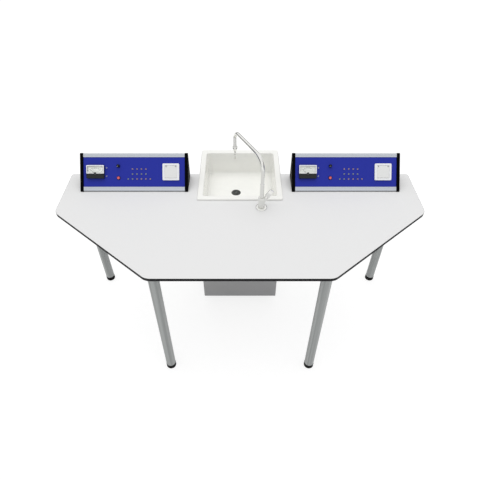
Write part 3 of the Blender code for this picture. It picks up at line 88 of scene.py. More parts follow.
def grain(material, size, tone=0.0, polish=0.0, height=0.0, stretch=(1, 1, 1), detail=2.0):
    """Works a pattern into a finish, its size in metres: the share by which the tone varies, the
    step by which the roughness varies, and the height of the relief in metres."""
    tree = material.node_tree
    shader = tree.nodes["Principled BSDF"]
    place = tree.nodes.new("ShaderNodeTexCoord")
    scale = tree.nodes.new("ShaderNodeMapping")
    scale.inputs["Scale"].default_value = [1 / (size * share) for share in stretch]
    pattern = tree.nodes.new("ShaderNodeTexNoise")
    pattern.inputs["Scale"].default_value = 1
    pattern.inputs["Detail"].default_value = detail
    tree.links.new(place.outputs["Object"], scale.inputs["Vector"])
    tree.links.new(scale.outputs["Vector"], pattern.inputs["Vector"])
    low, high = 0.3, 0.7
    if tone:
        shades = tree.nodes.new("ShaderNodeValToRGB")
        colour = shader.inputs["Base Color"].default_value[:3]
        for element, stop, share in zip(shades.color_ramp.elements, (low, high), (1 - tone, 1 + tone)):
            element.position = stop
            element.color = (*(min(1, level * share) for level in colour), 1)
        tree.links.new(pattern.outputs["Fac"], shades.inputs["Fac"])
        tree.links.new(shades.outputs["Color"], shader.inputs["Base Color"])
    if polish:
        spread = tree.nodes.new("ShaderNodeMapRange")
        middle = shader.inputs["Roughness"].default_value
        spread.inputs["From Min"].default_value = low
        spread.inputs["From Max"].default_value = high
        spread.inputs["To Min"].default_value = middle - polish
        spread.inputs["To Max"].default_value = middle + polish
        tree.links.new(pattern.outputs["Fac"], spread.inputs["Value"])
        tree.links.new(spread.outputs["Result"], shader.inputs["Roughness"])
    if height:
        relief = tree.nodes.new("ShaderNodeBump")
        relief.inputs["Distance"].default_value = height
        tree.links.new(pattern.outputs["Fac"], relief.inputs["Height"])
        if shader.inputs["Normal"].is_linked:
            tree.links.new(shader.inputs["Normal"].links[0].from_socket, relief.inputs["Normal"])
        tree.links.new(relief.outputs["Normal"], shader.inputs["Normal"])
    return material


def arc(centre, radius, first, last, steps):
    """Points (x, y) along an arc, angles in radians."""
    angles = [first + (last - first) * i / steps for i in range(steps + 1)]
    return [(centre[0] + radius * math.cos(a), centre[1] + radius * math.sin(a)) for a in angles]


def circle(centre, radius, sides):
    """Points (x, y) round a circle."""
    return arc(centre, radius, 0, turn * (sides - 1) / sides, sides - 1)


def rounded(corners, steps=10):
    """Outline through corners (x, y, radius), each corner rounded to its radius."""
    points = []
    for i, (x, y, radius) in enumerate(corners):
        corner = Vector((x, y))
        if radius == 0:
            points.append((x, y))
            continue
        before = (Vector(corners[i - 1][:2]) - corner).normalized()
        after = (Vector(corners[(i + 1) % len(corners)][:2]) - corner).normalized()
        half = before.angle(after) / 2
        centre = corner + (before + after).normalized() * radius / math.sin(half)
        start = corner + before * radius / math.tan(half) - centre
        end = corner + after * radius / math.tan(half) - centre
        first = math.atan2(start.y, start.x)
        sweep = (math.atan2(end.y, end.x) - first + math.pi) % turn - math.pi
        points += arc(centre, radius, first, first + sweep, steps)
    return points


def curve_shape(curve, middle):
    """Closed shape of a filled curve or a text, moved to its middle; the curve itself is used up."""
    drawn = bpy.data.objects.new("drawn", curve)
    bpy.context.collection.objects.link(drawn)
    mesh = bpy.data.meshes.new_from_object(drawn.evaluated_get(bpy.context.evaluated_depsgraph_get()))
    bm = bmesh.new()
    bm.from_mesh(mesh)
    bmesh.ops.remove_doubles(bm, verts=bm.verts, dist=weld)
    bmesh.ops.translate(bm, vec=middle, verts=bm.verts)
    bpy.data.objects.remove(drawn)
    bpy.data.curves.remove(curve)
    bpy.data.meshes.remove(mesh)
    return bm


def plate(outlines, low, high, ease, steps=2):
    """Sheet between two heights, cut to its first outline, pierced by the others, its edges eased."""
    curve = bpy.data.curves.new("plate", "CURVE")
    curve.dimensions = "2D"
    curve.fill_mode = "BOTH"
    curve.extrude = (high - low) / 2 - ease
    curve.bevel_depth = ease
    curve.bevel_resolution = steps
    curve.offset = -ease
    for outline in outlines:
        line = curve.splines.new("POLY")
        line.points.add(len(outline) - 1)
        for point, (x, y) in zip(line.points, outline):
            point.co = (x, y, 0, 1)
        line.use_cyclic_u = True
    return curve_shape(curve, (0, 0, (low + high) / 2))


def piece(name, bm, finishes, body, replaced=(), pick=None, crease=32):
    """Finished piece on its body, in place of the CAD nodes that it stands for."""
    bmesh.ops.recalc_face_normals(bm, faces=bm.faces)
    bm.normal_update()
    if pick:
        for face in bm.faces:
            face.material_index = pick(face)
    mesh = bpy.data.meshes.new(name)
    bm.to_mesh(mesh)
    bm.free()
    mesh.shade_smooth()
    mesh.set_sharp_from_angle(angle=math.radians(crease))
    for material in finishes:
        mesh.materials.append(material)
    item = bpy.data.objects.new(name, mesh)
    bpy.context.collection.objects.link(item)
    even = item.modifiers.new("even_faces", "WEIGHTED_NORMAL")
    even.keep_sharp = True
    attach(item, body)
    if replaced:
        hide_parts(*replaced)
    return item


laminate_face = finish("laminate_face", srgb(233, 233, 233), 0.42, gloss=0.3)
grain(laminate_face, 0.0009, tone=0.012, polish=0.05, height=0.000012)
grain(laminate_face, 0.35, polish=0.03)
resin_core = finish("resin_core", srgb(32, 32, 34), 0.55, gloss=0.1)
grain(resin_core, 0.0003, tone=0.25, polish=0.06, height=0.00001, stretch=(90, 90, 1))

half_width = slab_high.x
half_front = front_edge / 2
slab_outline = rounded([
    (-half_width, slab_high.y, rear_corner),
    (-half_width, slab_high.y - side_edge, front_corner),
    (-half_front, slab_low.y, front_corner),
    (half_front, slab_low.y, front_corner),
    (half_width, slab_high.y - side_edge, front_corner),
    (half_width, slab_high.y, rear_corner),
    (notch_half_width, slab_high.y, 0),
    (notch_half_width, slab_high.y - notch_depth, notch_corner),
    (-notch_half_width, slab_high.y - notch_depth, notch_corner),
    (-notch_half_width, slab_high.y, 0),
])
slab_holes = [circle(tap_spot, tap_hole, 48)]
slab_holes += [circle(spot, cable_hole, 48) for spot in cable_spots]
slab = plate([slab_outline, *(hole[::-1] for hole in slab_holes)], slab_low.z, slab_high.z, slab_ease)
piece("worktop_slab", slab, [laminate_face, resin_core], "table", ["worktop"],
      lambda face: int(abs(face.normal.z) < face_up))


# Legs
# Four round steel tubes. A plate closes each on top, where it is screwed to the slab, and a threaded
# insert closes it below. They are coated silver grey, and vertical streaks of lighter and darker grey
# run down the tubes: painted sheen, standing in for streaky reflections.
corners = ("front_left", "front_right", "rear_left", "rear_right")
leg_radius = 0.025
leg_edge = 0.0008
stud_bore = 0.0063
insert_depth = 0.022
leg_boxes = {corner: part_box(f"leg_{corner}") for corner in corners}
leg_spots = {corner: (low + high) / 2 for corner, (low, high) in leg_boxes.items()}
leg_low, leg_high = (point.z for point in leg_boxes["rear_right"])


def loft(rings, closed=False):
    """Skin through rings of points; a ring of one point is a tip, and open ends get a flat cap."""
    bm = bmesh.new()
    loops = [[bm.verts.new(point) for point in ring] for ring in rings]
    sides = max(len(loop) for loop in loops)
    following = loops[1:] + (loops[:1] if closed else [])
    for lower, upper in zip(loops, following):
        for i in range(sides):
            j = i + 1
            below = (lower[i % len(lower)], lower[j % len(lower)])
            above = (upper[j % len(upper)], upper[i % len(upper)])
            corners_met = list(dict.fromkeys(below + above))
            if len(corners_met) > 2:
                bm.faces.new(corners_met)
    if not closed:
        for end in (loops[0], loops[-1]):
            if len(end) > 1:
                bm.faces.new(end)
    return bm


def turned(profile, sides=56, closed=False, flutes=0, flute_depth=0.0, fluted=()):
    """Turned shape about Z from (radius, height) points; the points numbered in fluted carry flutes."""
    rings = []
    for step, (radius, height) in enumerate(profile):
        if radius == 0:
            rings.append([(0, 0, height)])
            continue
        ring = []
        for i in range(sides):
            a = turn * i / sides
            r = radius
            if step in fluted:
                r -= flute_depth * (1 + math.cos(flutes * a)) / 2
            ring.append((r * math.cos(a), r * math.sin(a), height))
        rings.append(ring)
    return loft(rings, closed)


def placed(bm, matrix):
    """Moves a shape into the place that a matrix gives."""
    bmesh.ops.transform(bm, matrix=matrix, verts=bm.verts)
    return bm


leg_coat = finish("leg_coat", srgb(153, 156, 155), 0.36, 0.35)
grain(leg_coat, 0.0016, polish=0.05, height=0.00003)
# Vertical streaks in tone: painted sheen, standing in for streaky reflections down the tubes.
grain(leg_coat, 0.009, tone=0.2, stretch=(1, 1, 150), detail=1.0)

for corner, spot in leg_spots.items():
    tube = turned([
        (0, leg_high),
        (leg_radius - leg_edge, leg_high),
        (leg_radius, leg_high - leg_edge),
        (leg_radius, leg_low + leg_edge),
        (leg_radius - leg_edge, leg_low),
        (stud_bore, leg_low),
        (stud_bore, leg_low + insert_depth),
        (0, leg_low + insert_depth),
    ])
    placed(tube, Matrix.Translation((spot.x, spot.y, 0)))
    piece(f"leg_tube_{corner}", tube, [leg_coat], "table", [f"leg_{corner}"])


# Levelling feet
# Black polyamide feet moulded on a zinc-plated stud that screws into the leg's insert. The side is
# finely ribbed to be turned by hand, and the sole has a soft rounded edge.
foot_radius = 0.026
foot_height = 0.028
sole_round = 0.004
crown_round = sole_round / 3
rib_band = (0.010, 0.022)
rib_depth = 0.0007
rib_count = 40
stud_radius = 0.006
stud_length = 0.045
thread_pitch = 0.0015
thread_depth = 0.0006

foot_black = finish("foot_black", srgb(10, 10, 11), 0.55, gloss=0.06)
grain(foot_black, 0.0006, tone=0.15, polish=0.08, height=0.00003)
zinc_plate = finish("zinc_plate", srgb(196, 198, 200), 0.28, 1.0)
grain(zinc_plate, 0.004, tone=0.05, polish=0.08)

sole = arc((foot_radius - sole_round, sole_round), sole_round, -quarter, 0, 6)
crown = arc((foot_radius - crown_round, foot_height - crown_round), crown_round, 0, quarter, 4)
foot_profile = [
    (0, 0),
    *sole,
    (foot_radius, rib_band[0] - rib_depth),
    (foot_radius, rib_band[0]),
    (foot_radius, rib_band[1]),
    (foot_radius, rib_band[1] + rib_depth),
    *crown,
    (0, foot_height),
]
ribbed = (len(sole) + 2, len(sole) + 3)
stud_end = foot_height + stud_length
thread_core = stud_radius - thread_depth
thread = [(0, foot_height)]
for i in range(int(stud_length / thread_pitch)):
    z = foot_height + i * thread_pitch
    thread += [(thread_core, z), (stud_radius, z + thread_pitch / 2)]
thread += [(thread_core, stud_end), (0, stud_end)]
for corner, spot in leg_spots.items():
    body = f"{corner}_foot"
    at = Matrix.Translation((spot.x, spot.y, 0))
    foot = turned(foot_profile, 4 * rib_count, flutes=rib_count, flute_depth=rib_depth, fluted=ribbed)
    piece(f"foot_moulding_{corner}", placed(foot, at), [foot_black], body, [f"foot_{corner}"])
    piece(f"foot_stud_{corner}", placed(turned(thread, 32), at), [zinc_plate], body)


# Under-frame
# Rectangular steel tubes under the slab: one along the front, one along each slanted side, two at the
# rear and two bearers beside the cabinet. They are welded to the legs and powder coated silver grey.
rail_width = 0.020
rail_height = 0.040
rail_round = 0.0025
bead_radius = 0.0018
bead_sides = 6
rail_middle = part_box("rail_front")[0].z + rail_height / 2
bearer_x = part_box("bearer_right")[0].x + rail_width / 2
bearer_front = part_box("bearer_right")[0].y
bearer_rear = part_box("bearer_right")[1].y
rear_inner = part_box("rail_rear_right")[0].x


def rectangle(width, height, radius=0.0, centre=(0, 0)):
    """Corners of a rectangle for rounded()."""
    x, y = centre
    signs = ((-1, -1), (1, -1), (1, 1), (-1, 1))
    return [(x + sx * width / 2, y + sy * height / 2, radius) for sx, sy in signs]


def joined(shapes):
    """Several shapes in one."""
    whole = bmesh.new()
    for bm in shapes:
        mesh = bpy.data.meshes.new("shape")
        bmesh.ops.recalc_face_normals(bm, faces=bm.faces)
        bm.to_mesh(mesh)
        bm.free()
        whole.from_mesh(mesh)
        bpy.data.meshes.remove(mesh)
    return whole


def rail(name, start, end, leg_at_start, leg_at_end):
    """Tube from one point to another, ending on a leg's round with a weld bead where there is one."""
    run = end - start
    section = rounded(rectangle(rail_width, rail_height, rail_round), 4)
    ends = []
    beads = []
    for x, sign, on_leg in ((0, 1, leg_at_start), (run.length, -1, leg_at_end)):
        ring = []
        for across, up in section:
            reach = math.sqrt(leg_radius ** 2 - across ** 2) if on_leg else 0
            ring.append((x + sign * reach, across, up))
        ends.append(ring)
        if on_leg:
            path = [Vector(point) for point in ring]
            circles = []
            for i, point in enumerate(path):
                along = (path[(i + 1) % len(path)] - path[i - 1]).normalized()
                side = along.cross(Vector((1, 0, 0))).normalized()
                out = side.cross(along)
                around = circle((0, 0), bead_radius, bead_sides)
                circles.append([point + side * c + out * s for c, s in around])
            beads.append(loft(circles, closed=True))
    tube = joined([loft(ends), *beads])
    placed(tube, Matrix.Rotation(math.atan2(run.y, run.x), 4, "Z"))
    placed(tube, Matrix.Translation((start.x, start.y, rail_middle)))
    piece(f"{name}_tube", tube, [powder_coat], "table", [name])


powder_coat = finish("powder_coat", srgb(152, 154, 154), 0.36, 0.35)
grain(powder_coat, 0.0016, tone=0.03, polish=0.05, height=0.00003)

spots = {corner: spot.to_2d() for corner, spot in leg_spots.items()}
rail("rail_front", spots["front_left"], spots["front_right"], True, True)
for side, sign in (("left", -1), ("right", 1)):
    rear = spots[f"rear_{side}"]
    rail(f"rail_{side}", spots[f"front_{side}"], rear, True, True)
    rail(f"rail_rear_{side}", rear, Vector((sign * rear_inner, rear.y)), True, False)
    bearer = (Vector((sign * bearer_x, bearer_front)), Vector((sign * bearer_x, bearer_rear)))
    rail(f"bearer_{side}", *bearer, False, False)


# Service cabinet
# Boxed pedestal of grey melamine-faced board that carries the sink's rear half. Its sawn edges are
# closed with a thin strip of the same grey, and it stands on a darker recessed plinth.
board_edge = 0.0009
board_facing = 0.9
flat_angle = math.radians(0.5)
sharp_angle = math.radians(40)


def node_shape(node):
    """Copy of a CAD node's shape with its flat faces whole."""
    bm = bmesh.new()
    bm.from_mesh(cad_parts[node].data)
    bmesh.ops.remove_doubles(bm, verts=bm.verts, dist=weld)
    bmesh.ops.dissolve_limit(bm, angle_limit=flat_angle, verts=bm.verts, edges=bm.edges)
    return bm


def softened(bm, width, steps=2):
    """Shape with its sharp edges rounded."""
    sharp = [edge for edge in bm.edges if edge.is_manifold and edge.calc_face_angle() > sharp_angle]
    bmesh.ops.bevel(bm, geom=sharp, offset=width, segments=steps, affect="EDGES", clamp_overlap=True)
    bmesh.ops.remove_doubles(bm, verts=bm.verts, dist=weld)
    bmesh.ops.dissolve_degenerate(bm, dist=weld, edges=bm.edges)
    return bm


board_face = finish("board_face", srgb(176, 176, 177), 0.46, gloss=0.3)
grain(board_face, 0.0014, tone=0.02, polish=0.06, height=0.00002)
edge_strip = finish("edge_strip", srgb(171, 171, 172), 0.36, gloss=0.3)
grain(edge_strip, 0.0022, tone=0.015, polish=0.04, height=0.00001)
plinth_face = finish("plinth_face", srgb(62, 63, 64), 0.5)
grain(plinth_face, 0.0014, tone=0.05, polish=0.06, height=0.00002)

for name, thickness_axis in (("front", 1), ("back", 1), ("side_left", 0), ("side_right", 0)):
    board = softened(node_shape(f"cabinet_{name}"), board_edge)
    piece(f"cabinet_board_{name}", board, [board_face, edge_strip], "table", [f"cabinet_{name}"],
          lambda face: int(abs(face.normal[thickness_axis]) < board_facing))
plinth = softened(node_shape("cabinet_plinth"), board_edge)
piece("cabinet_plinth_board", plinth, [plinth_face], "table", ["cabinet_plinth"])


# Sink
# Fireclay basin with an ivory glaze, cast in one piece with a flat rim that lies on the slab in front
# and on the cabinet behind. The floor falls gently to a stepped drain hole.
sink_low, sink_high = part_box("sink_basin")
fit_gap = 0.0003
rim_half_x = 0.218
rim_half_y = (sink_high.y - sink_low.y) / 2
rim_front = 0.0275
rim_rear = 0.033
bowl_half_x = 0.189
bowl_half_y = rim_half_y - (rim_front + rim_rear) / 2
bowl_middle = sink_low.y + rim_front + bowl_half_y
rim_height = 0.010
rim_low = slab_high.z + fit_gap
rim_top = slab_high.z + rim_height
rim_round = 0.012
rim_ease = 0.004
bowl_depth = 0.136
bowl_floor = rim_top - bowl_depth
bowl_corner = 0.012
bowl_draft = 0.008
bowl_fillet = 0.012
floor_fall = 0.004
floor_steps = 6
bowl_wall = 0.010
drain_spot = Vector((-0.022, 0.0055))
drain_bore = 0.0205
drain_seat = 0.0262
seat_depth = 0.0037
corner_steps = 12


def bowl_ring(half_x, half_y, radius, z, shift=0.0):
    """Rounded rectangle about the bowl's middle, or shifted along Y."""
    outline = rounded(rectangle(2 * half_x, 2 * half_y, radius), corner_steps)
    return [(x, y + shift, z) for x, y in outline]


def drain_ring(radius, z):
    """Circle at the drain whose points match those of bowl_ring."""
    count = 4 * (corner_steps + 1)
    first = math.pi + turn / count / 2
    last = first + turn * (count - 1) / count
    return [(x, y, z) for x, y in arc(drain_spot, radius, first, last, count - 1)]


def between(first, last, share):
    """Ring part of the way from one ring to another."""
    return [tuple(Vector(a).lerp(Vector(b), share)) for a, b in zip(first, last)]


glaze = finish("glaze", srgb(247, 247, 243), 0.14)
grain(glaze, 0.030, tone=0.008, polish=0.03, height=0.00012, detail=1.0)

foot_x = bowl_half_x - bowl_draft
foot_y = bowl_half_y - bowl_draft
wall_foot = bowl_floor + floor_fall
rings = [
    drain_ring(drain_bore, bowl_floor - bowl_wall),
    drain_ring(drain_bore, bowl_floor - seat_depth),
    drain_ring(drain_seat, bowl_floor - seat_depth),
    drain_ring(drain_seat, bowl_floor - slab_ease),
    drain_ring(drain_seat + slab_ease, bowl_floor),
]
floor_edge = bowl_ring(foot_x - bowl_fillet, foot_y - bowl_fillet, bowl_corner, wall_foot)
rings += [between(rings[-1], floor_edge, step / floor_steps) for step in range(1, floor_steps)]
for inward, up in arc((0, 0), bowl_fillet, -quarter, 0, 10):
    shrink = bowl_fillet - inward
    radius = bowl_corner + bowl_fillet - shrink
    rings.append(bowl_ring(foot_x - shrink, foot_y - shrink, radius, wall_foot + bowl_fillet + up))
for inward, up in arc((0, 0), rim_ease, math.pi, quarter, 6):
    grow = rim_ease + inward
    radius = bowl_corner + grow
    rings.append(bowl_ring(bowl_half_x + grow, bowl_half_y + grow, radius, rim_top - rim_ease + up))
rim_shift = (rim_rear - rim_front) / 2
for outward, up in arc((0, 0), rim_ease, quarter, 0, 6):
    shrink = rim_ease - outward
    radius = rim_round - shrink
    z = rim_top - rim_ease + up
    rings.append(bowl_ring(rim_half_x - shrink, rim_half_y - shrink, radius, z, rim_shift))
outer_corner = bowl_corner + bowl_wall
base = bowl_floor - bowl_wall
rim_edge = rim_round - slab_ease
rings += [
    bowl_ring(rim_half_x, rim_half_y, rim_round, rim_low + slab_ease, rim_shift),
    bowl_ring(rim_half_x - slab_ease, rim_half_y - slab_ease, rim_edge, rim_low, rim_shift),
    bowl_ring(bowl_half_x + bowl_wall, bowl_half_y + bowl_wall, outer_corner, rim_low),
    bowl_ring(foot_x + bowl_wall, foot_y + bowl_wall, outer_corner, base + bowl_fillet),
    bowl_ring(foot_x + bowl_wall - bowl_fillet, foot_y + bowl_wall - bowl_fillet, outer_corner, base),
]
basin = placed(loft(rings, closed=True), Matrix.Translation((0, bowl_middle, 0)))
piece("sink_glazed", basin, [glaze], "table", ["sink_basin"], crease=50)


# Sink waste
# A dark grey polypropylene strainer with a cross of bars over a finely drilled sieve, drawn down by a
# screw, its tail clamped by a ring nut. A white bottle trap takes the water out through the cabinet's back.
strainer_top = 0.6736
strainer_radius = 0.0257
strainer_thickness = 0.003
tail_radius = 0.020
tail_bore = 0.018
tail_length = 0.085
bar_width = 0.005
boss_radius = 0.0062
boss_top = 0.0004
screw_radius = 0.0042
screw_flat = 0.00252
screw_shoulder = 0.00104
screw_top = 0.00112
strainer_edge = 0.0008
sieve_top = -0.0012
sieve_rings = (0.0075, 0.0115, 0.0155)
sieve_hole = 0.0012
sieve_pitch = 0.0042
sieve_ease = 0.0002


def refinish(node, material):
    """Gives its finish to a CAD node that stays."""
    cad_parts[node].data.materials[0] = material


waste_grey = finish("waste_grey", srgb(76, 78, 76), 0.45, gloss=0.2)
grain(waste_grey, 0.0008, tone=0.10, polish=0.06, height=0.00002)
screw_steel = finish("screw_steel", srgb(104, 106, 105), 0.42, 1.0)
grain(screw_steel, 0.0012, tone=0.08, polish=0.08, stretch=(8, 1, 1))
trap_white = finish("trap_white", srgb(226, 227, 226), 0.44)
grain(trap_white, 0.0012, tone=0.015, polish=0.06, height=0.00002)

flange = turned([
    (tail_bore, 0),
    (strainer_radius - strainer_edge, 0),
    (strainer_radius, -strainer_edge),
    (strainer_radius, -strainer_thickness),
    (tail_radius, -strainer_thickness),
    (tail_radius, -tail_length),
    (tail_bore, -tail_length),
], closed=True)
bars = []
for direction in (0, quarter):
    bar_outline = rounded(rectangle(2 * tail_bore + strainer_edge, bar_width))
    bar = plate([bar_outline], -strainer_thickness, 0, strainer_edge)
    bars.append(placed(bar, Matrix.Rotation(direction, 4, "Z")))
boss = turned([
    (0, boss_top),
    (boss_radius, boss_top),
    (boss_radius, -strainer_thickness),
    (0, -strainer_thickness),
])
sieve_outlines = [circle((0, 0), tail_bore + strainer_edge / 2, 48)]
for radius in sieve_rings:
    for spot in circle((0, 0), radius, int(turn * radius / sieve_pitch)):
        sieve_outlines.append(circle(spot, sieve_hole, 12)[::-1])
sieve = plate(sieve_outlines, -strainer_thickness, sieve_top, sieve_ease, 0)
drain_place = Matrix.Translation((drain_spot.x, bowl_middle + drain_spot.y, strainer_top))
strainer = placed(joined([flange, *bars, boss, sieve]), drain_place)
piece("strainer_moulding", strainer, [waste_grey], "table", ["drain_strainer"])
head = turned([
    (0, screw_top),
    (screw_flat, screw_shoulder),
    (screw_radius, boss_top),
    (0, boss_top),
], 32)
piece("strainer_screw", placed(head, drain_place), [screw_steel], "table")
refinish("drain_backnut", waste_grey)
refinish("bottle_trap", trap_white)


# Tap body
# A single-lever swivel tap in chromed brass: a domed rosette on the slab, a turned column with an
# inclined valve boss, and a shank that a hexagon nut clamps under the slab.
rosette_radius = 0.029
rosette_top = 0.020
rosette_height = 0.007
rosette_edge = 0.0018
shank_radius = 0.014
shank_bore = 0.009
shank_length = 0.050
column_radius = 0.0165
column_height = 0.065
column_foot = 0.0076
column_ease = 0.002
foot_ease = 0.0005
groove_height = 0.058
groove_depth = 0.0005
nipple_radius = 0.007
nipple_length = 0.030
boss_rise = math.radians(58)
boss_foot = 0.028
boss_length = 0.040
valve_radius = 0.0095
valve_bore = 0.0068
valve_bore_depth = 0.018
valve_mouth = math.radians(42)
lever_turn = math.radians(60)
nut_edge = 0.0006

chrome = finish("chrome", srgb(229, 229, 226), 0.05, 1.0)
grain(chrome, 0.025, polish=0.02, detail=3.0)
nut_brass = finish("nut_brass", srgb(190, 150, 84), 0.3, 1.0)
grain(nut_brass, 0.0012, tone=0.06, polish=0.08, stretch=(1, 1, 6))
valve_white = finish("valve_white", srgb(200, 200, 196), 0.45)
grain(valve_white, 0.0010, tone=0.03, polish=0.06)

tap_place = Matrix.Translation((tap_spot.x, tap_spot.y, slab_high.z))
flare = rosette_radius - rosette_top
rise = rosette_height - rosette_edge
dome = arc((0, 0), 1, 0, quarter, 8)
rosette = turned([
    (shank_radius + fit_gap, rosette_height),
    *((rosette_top + flare * out, rosette_edge + rise * up) for up, out in dome),
    (rosette_radius, fit_gap),
    (shank_radius + fit_gap, fit_gap),
], closed=True)
piece("rosette_chrome", placed(rosette, tap_place), [chrome], "table", ["tap_rosette"])

shoulder = arc((column_radius - column_ease, column_height - column_ease), column_ease, quarter, 0, 5)
column = turned([
    (0, column_height + nipple_length),
    (nipple_radius, column_height + nipple_length),
    (nipple_radius, column_height),
    *shoulder,
    (column_radius, groove_height + groove_depth),
    (column_radius - groove_depth, groove_height),
    (column_radius, groove_height - groove_depth),
    (column_radius, column_foot + foot_ease),
    (column_radius - foot_ease, column_foot),
    (shank_radius, column_foot),
    (shank_radius, -shank_length),
    (shank_bore, -shank_length),
    (shank_bore, column_foot),
    (0, column_foot),
])
boss_axis = Vector((math.cos(boss_rise), 0, math.sin(boss_rise)))
toward_user = Vector((0, -1, 0))
rock_axis = toward_user * math.cos(lever_turn) + boss_axis.cross(toward_user) * math.sin(lever_turn)
valve_axes = Matrix((rock_axis, boss_axis.cross(rock_axis), boss_axis)).transposed().to_4x4()
valve_spot = Vector((0, 0, boss_foot)) + boss_axis * boss_length
valve_place = tap_place @ Matrix.Translation(valve_spot) @ valve_axes
mouth = arc((0, 0), valve_radius, 0, valve_mouth, 6)
boss = turned([
    (0, -boss_length),
    (valve_radius, -boss_length),
    *mouth,
    (valve_bore, mouth[-1][1]),
    (valve_bore, -valve_bore_depth),
    (0, -valve_bore_depth),
])
column_and_boss = joined([placed(column, tap_place), placed(boss, valve_place)])
piece("column_chrome", column_and_boss, [chrome], "table", ["tap_body"])
nut = softened(node_shape("tap_backnut"), nut_edge)
piece("shank_nut", nut, [nut_brass], "table", ["tap_backnut"])
refinish("tap_cartridge", valve_white)


# Tap lever
# A chromed zinc casting: a dome that covers the valve boss and a flat blade that rises from it and
# curves outward to a square tip. It rocks for the flow and turns with the cartridge for the heat.
dome_radius = 0.0125
dome_inside = 0.010
dome_cover = math.radians(55)
lip_drop = 0.0004
stem_radius = 0.0025
stem_end = -0.0100
blade_root = 0.011
root_lean = math.radians(6)
blade_lean = math.radians(8)
blade_bend = math.radians(14)
bend_radius = 0.172
root_size = (0.024, 0.008)
tip_size = (0.022, 0.006)
blade_round = 0.0022
round_share = 0.45
blade_steps = 28
tip_steps = 5
tip_round = 0.0016

dome_rim = quarter - dome_cover
outer = arc((0, 0), dome_radius, quarter, dome_rim, 10)
lip = (dome_radius + dome_inside) / 2
inner = arc((0, 0), dome_inside, dome_rim, math.acos(stem_radius / dome_inside), 6)
hub = turned([
    (0, dome_radius),
    *outer[1:],
    (lip * math.cos(dome_rim), lip * math.sin(dome_rim) - lip_drop),
    *inner,
    (stem_radius, stem_end),
    (0, stem_end),
])
root_y = -blade_root * math.sin(root_lean)
root_z = blade_root * math.cos(root_lean)
blade_length = bend_radius * blade_bend
tip_start = blade_length - tip_round
stations = [(tip_start * i / blade_steps, 0) for i in range(blade_steps + 1)]
for out, up in arc((0, 0), tip_round, 0, quarter, tip_steps)[1:]:
    stations.append((tip_start + up, tip_round - out))
rings = []
for distance, pull in stations:
    share = distance / blade_length
    lean = blade_lean - blade_bend * share
    width = root_size[0] + (tip_size[0] - root_size[0]) * share - 2 * pull
    thick = root_size[1] + (tip_size[1] - root_size[1]) * share - 2 * pull
    middle_y = root_y + bend_radius * (math.cos(blade_lean) - math.cos(lean))
    middle_z = root_z + bend_radius * (math.sin(blade_lean) - math.sin(lean))
    ring = []
    for x, out in rounded(rectangle(width, thick, min(blade_round, thick * round_share)), 5):
        ring.append((x, middle_y + out * math.cos(lean), middle_z + out * math.sin(lean)))
    rings.append(ring)
lever = placed(joined([hub, loft(rings)]), valve_place)
piece("lever_chrome", lever, [chrome], "lever", ["tap_lever"])


# Swivel spout
# Chromed brass tube, bent twice, on a thicker neck that turns on the column's nipple. A barbed hose
# nozzle is screwed on its end, over the drain.
spout_reach = 0.281
spout_azimuth = math.radians(117.9)
spout_radius = 0.0085
neck_radius = 0.0102
neck_top = 0.143
arm_height = 0.2825
first_bend = 0.066
last_bend = 0.040
outlet_height = 0.183
spout_sides = 40
bend_steps = 18
neck_ease = 0.0006
shoulder_round = 0.0008
shoulder_ease = 0.0003
shoulder_height = 0.0017
nozzle_radius = 0.013
nozzle_grip = 0.012
grip_round = 0.0025
grip_drop = 0.0030
grip_ease = 0.0004
socket_wall = 0.0012
nozzle_cone = 0.018
nozzle_tail = 0.044
nozzle_bore = 0.0026
barb_low = 0.00375
barb_high = 0.00505
barb_edge = 0.0006
barb_taper = 0.0002
barbs = 3

neck_foot = column_height + fit_gap
neck_bore = nipple_radius + fit_gap
stations = [
    (0, neck_foot + nipple_length, quarter, neck_bore),
    (0, neck_foot, quarter, neck_bore),
    (0, neck_foot, quarter, neck_radius - neck_ease),
    (0, neck_foot + neck_ease, quarter, neck_radius),
    (0, neck_top, quarter, neck_radius),
    (0, neck_top + shoulder_round, quarter, neck_radius - shoulder_ease),
    (0, neck_top + shoulder_height, quarter, spout_radius),
]
centre = (first_bend, arm_height - first_bend)
for i, (x, z) in enumerate(arc(centre, first_bend, math.pi, quarter, bend_steps)):
    stations.append((x, z, quarter - quarter * i / bend_steps, spout_radius))
centre = (spout_reach - last_bend, arm_height - last_bend)
for i, (x, z) in enumerate(arc(centre, last_bend, quarter, 0, bend_steps)):
    stations.append((x, z, -quarter * i / bend_steps, spout_radius))
stations.append((spout_reach, outlet_height, -quarter, spout_radius))
rings = []
for reach, height, direction, radius in stations:
    ring = []
    for c, s in circle((0, 0), radius, spout_sides):
        ring.append((reach - math.sin(direction) * c, s, height + math.cos(direction) * c))
    rings.append(ring)
spout_place = tap_place @ Matrix.Rotation(spout_azimuth, 4, "Z")
piece("spout_chrome", placed(loft(rings), spout_place), [chrome], "spout", ["tap_spout"])

socket = spout_radius + fit_gap
barb = (nozzle_tail - nozzle_bore) / barbs
tail = []
for i in range(barbs):
    z = -nozzle_cone - i * barb
    crest = z - barb / 4
    tail += [(barb_low, z), (barb_high, crest), (barb_high - barb_taper, crest - barb_edge)]
grip_edge = arc((nozzle_radius - grip_round, nozzle_grip - grip_drop), grip_round, quarter, 0, 5)
nozzle = turned([
    (socket, nozzle_grip),
    (socket + socket_wall, nozzle_grip),
    *grip_edge,
    (nozzle_radius, grip_ease),
    (nozzle_radius - grip_ease, 0),
    *tail,
    (barb_low, -nozzle_cone - nozzle_tail),
    (nozzle_bore, -nozzle_cone - nozzle_tail),
    (nozzle_bore, -fit_gap),
    (socket, -fit_gap),
], 40, closed=True)
nozzle_place = spout_place @ Matrix.Translation((spout_reach, 0, outlet_height))
piece("nozzle_chrome", placed(nozzle, nozzle_place), [chrome], "spout", ["tap_nozzle"])
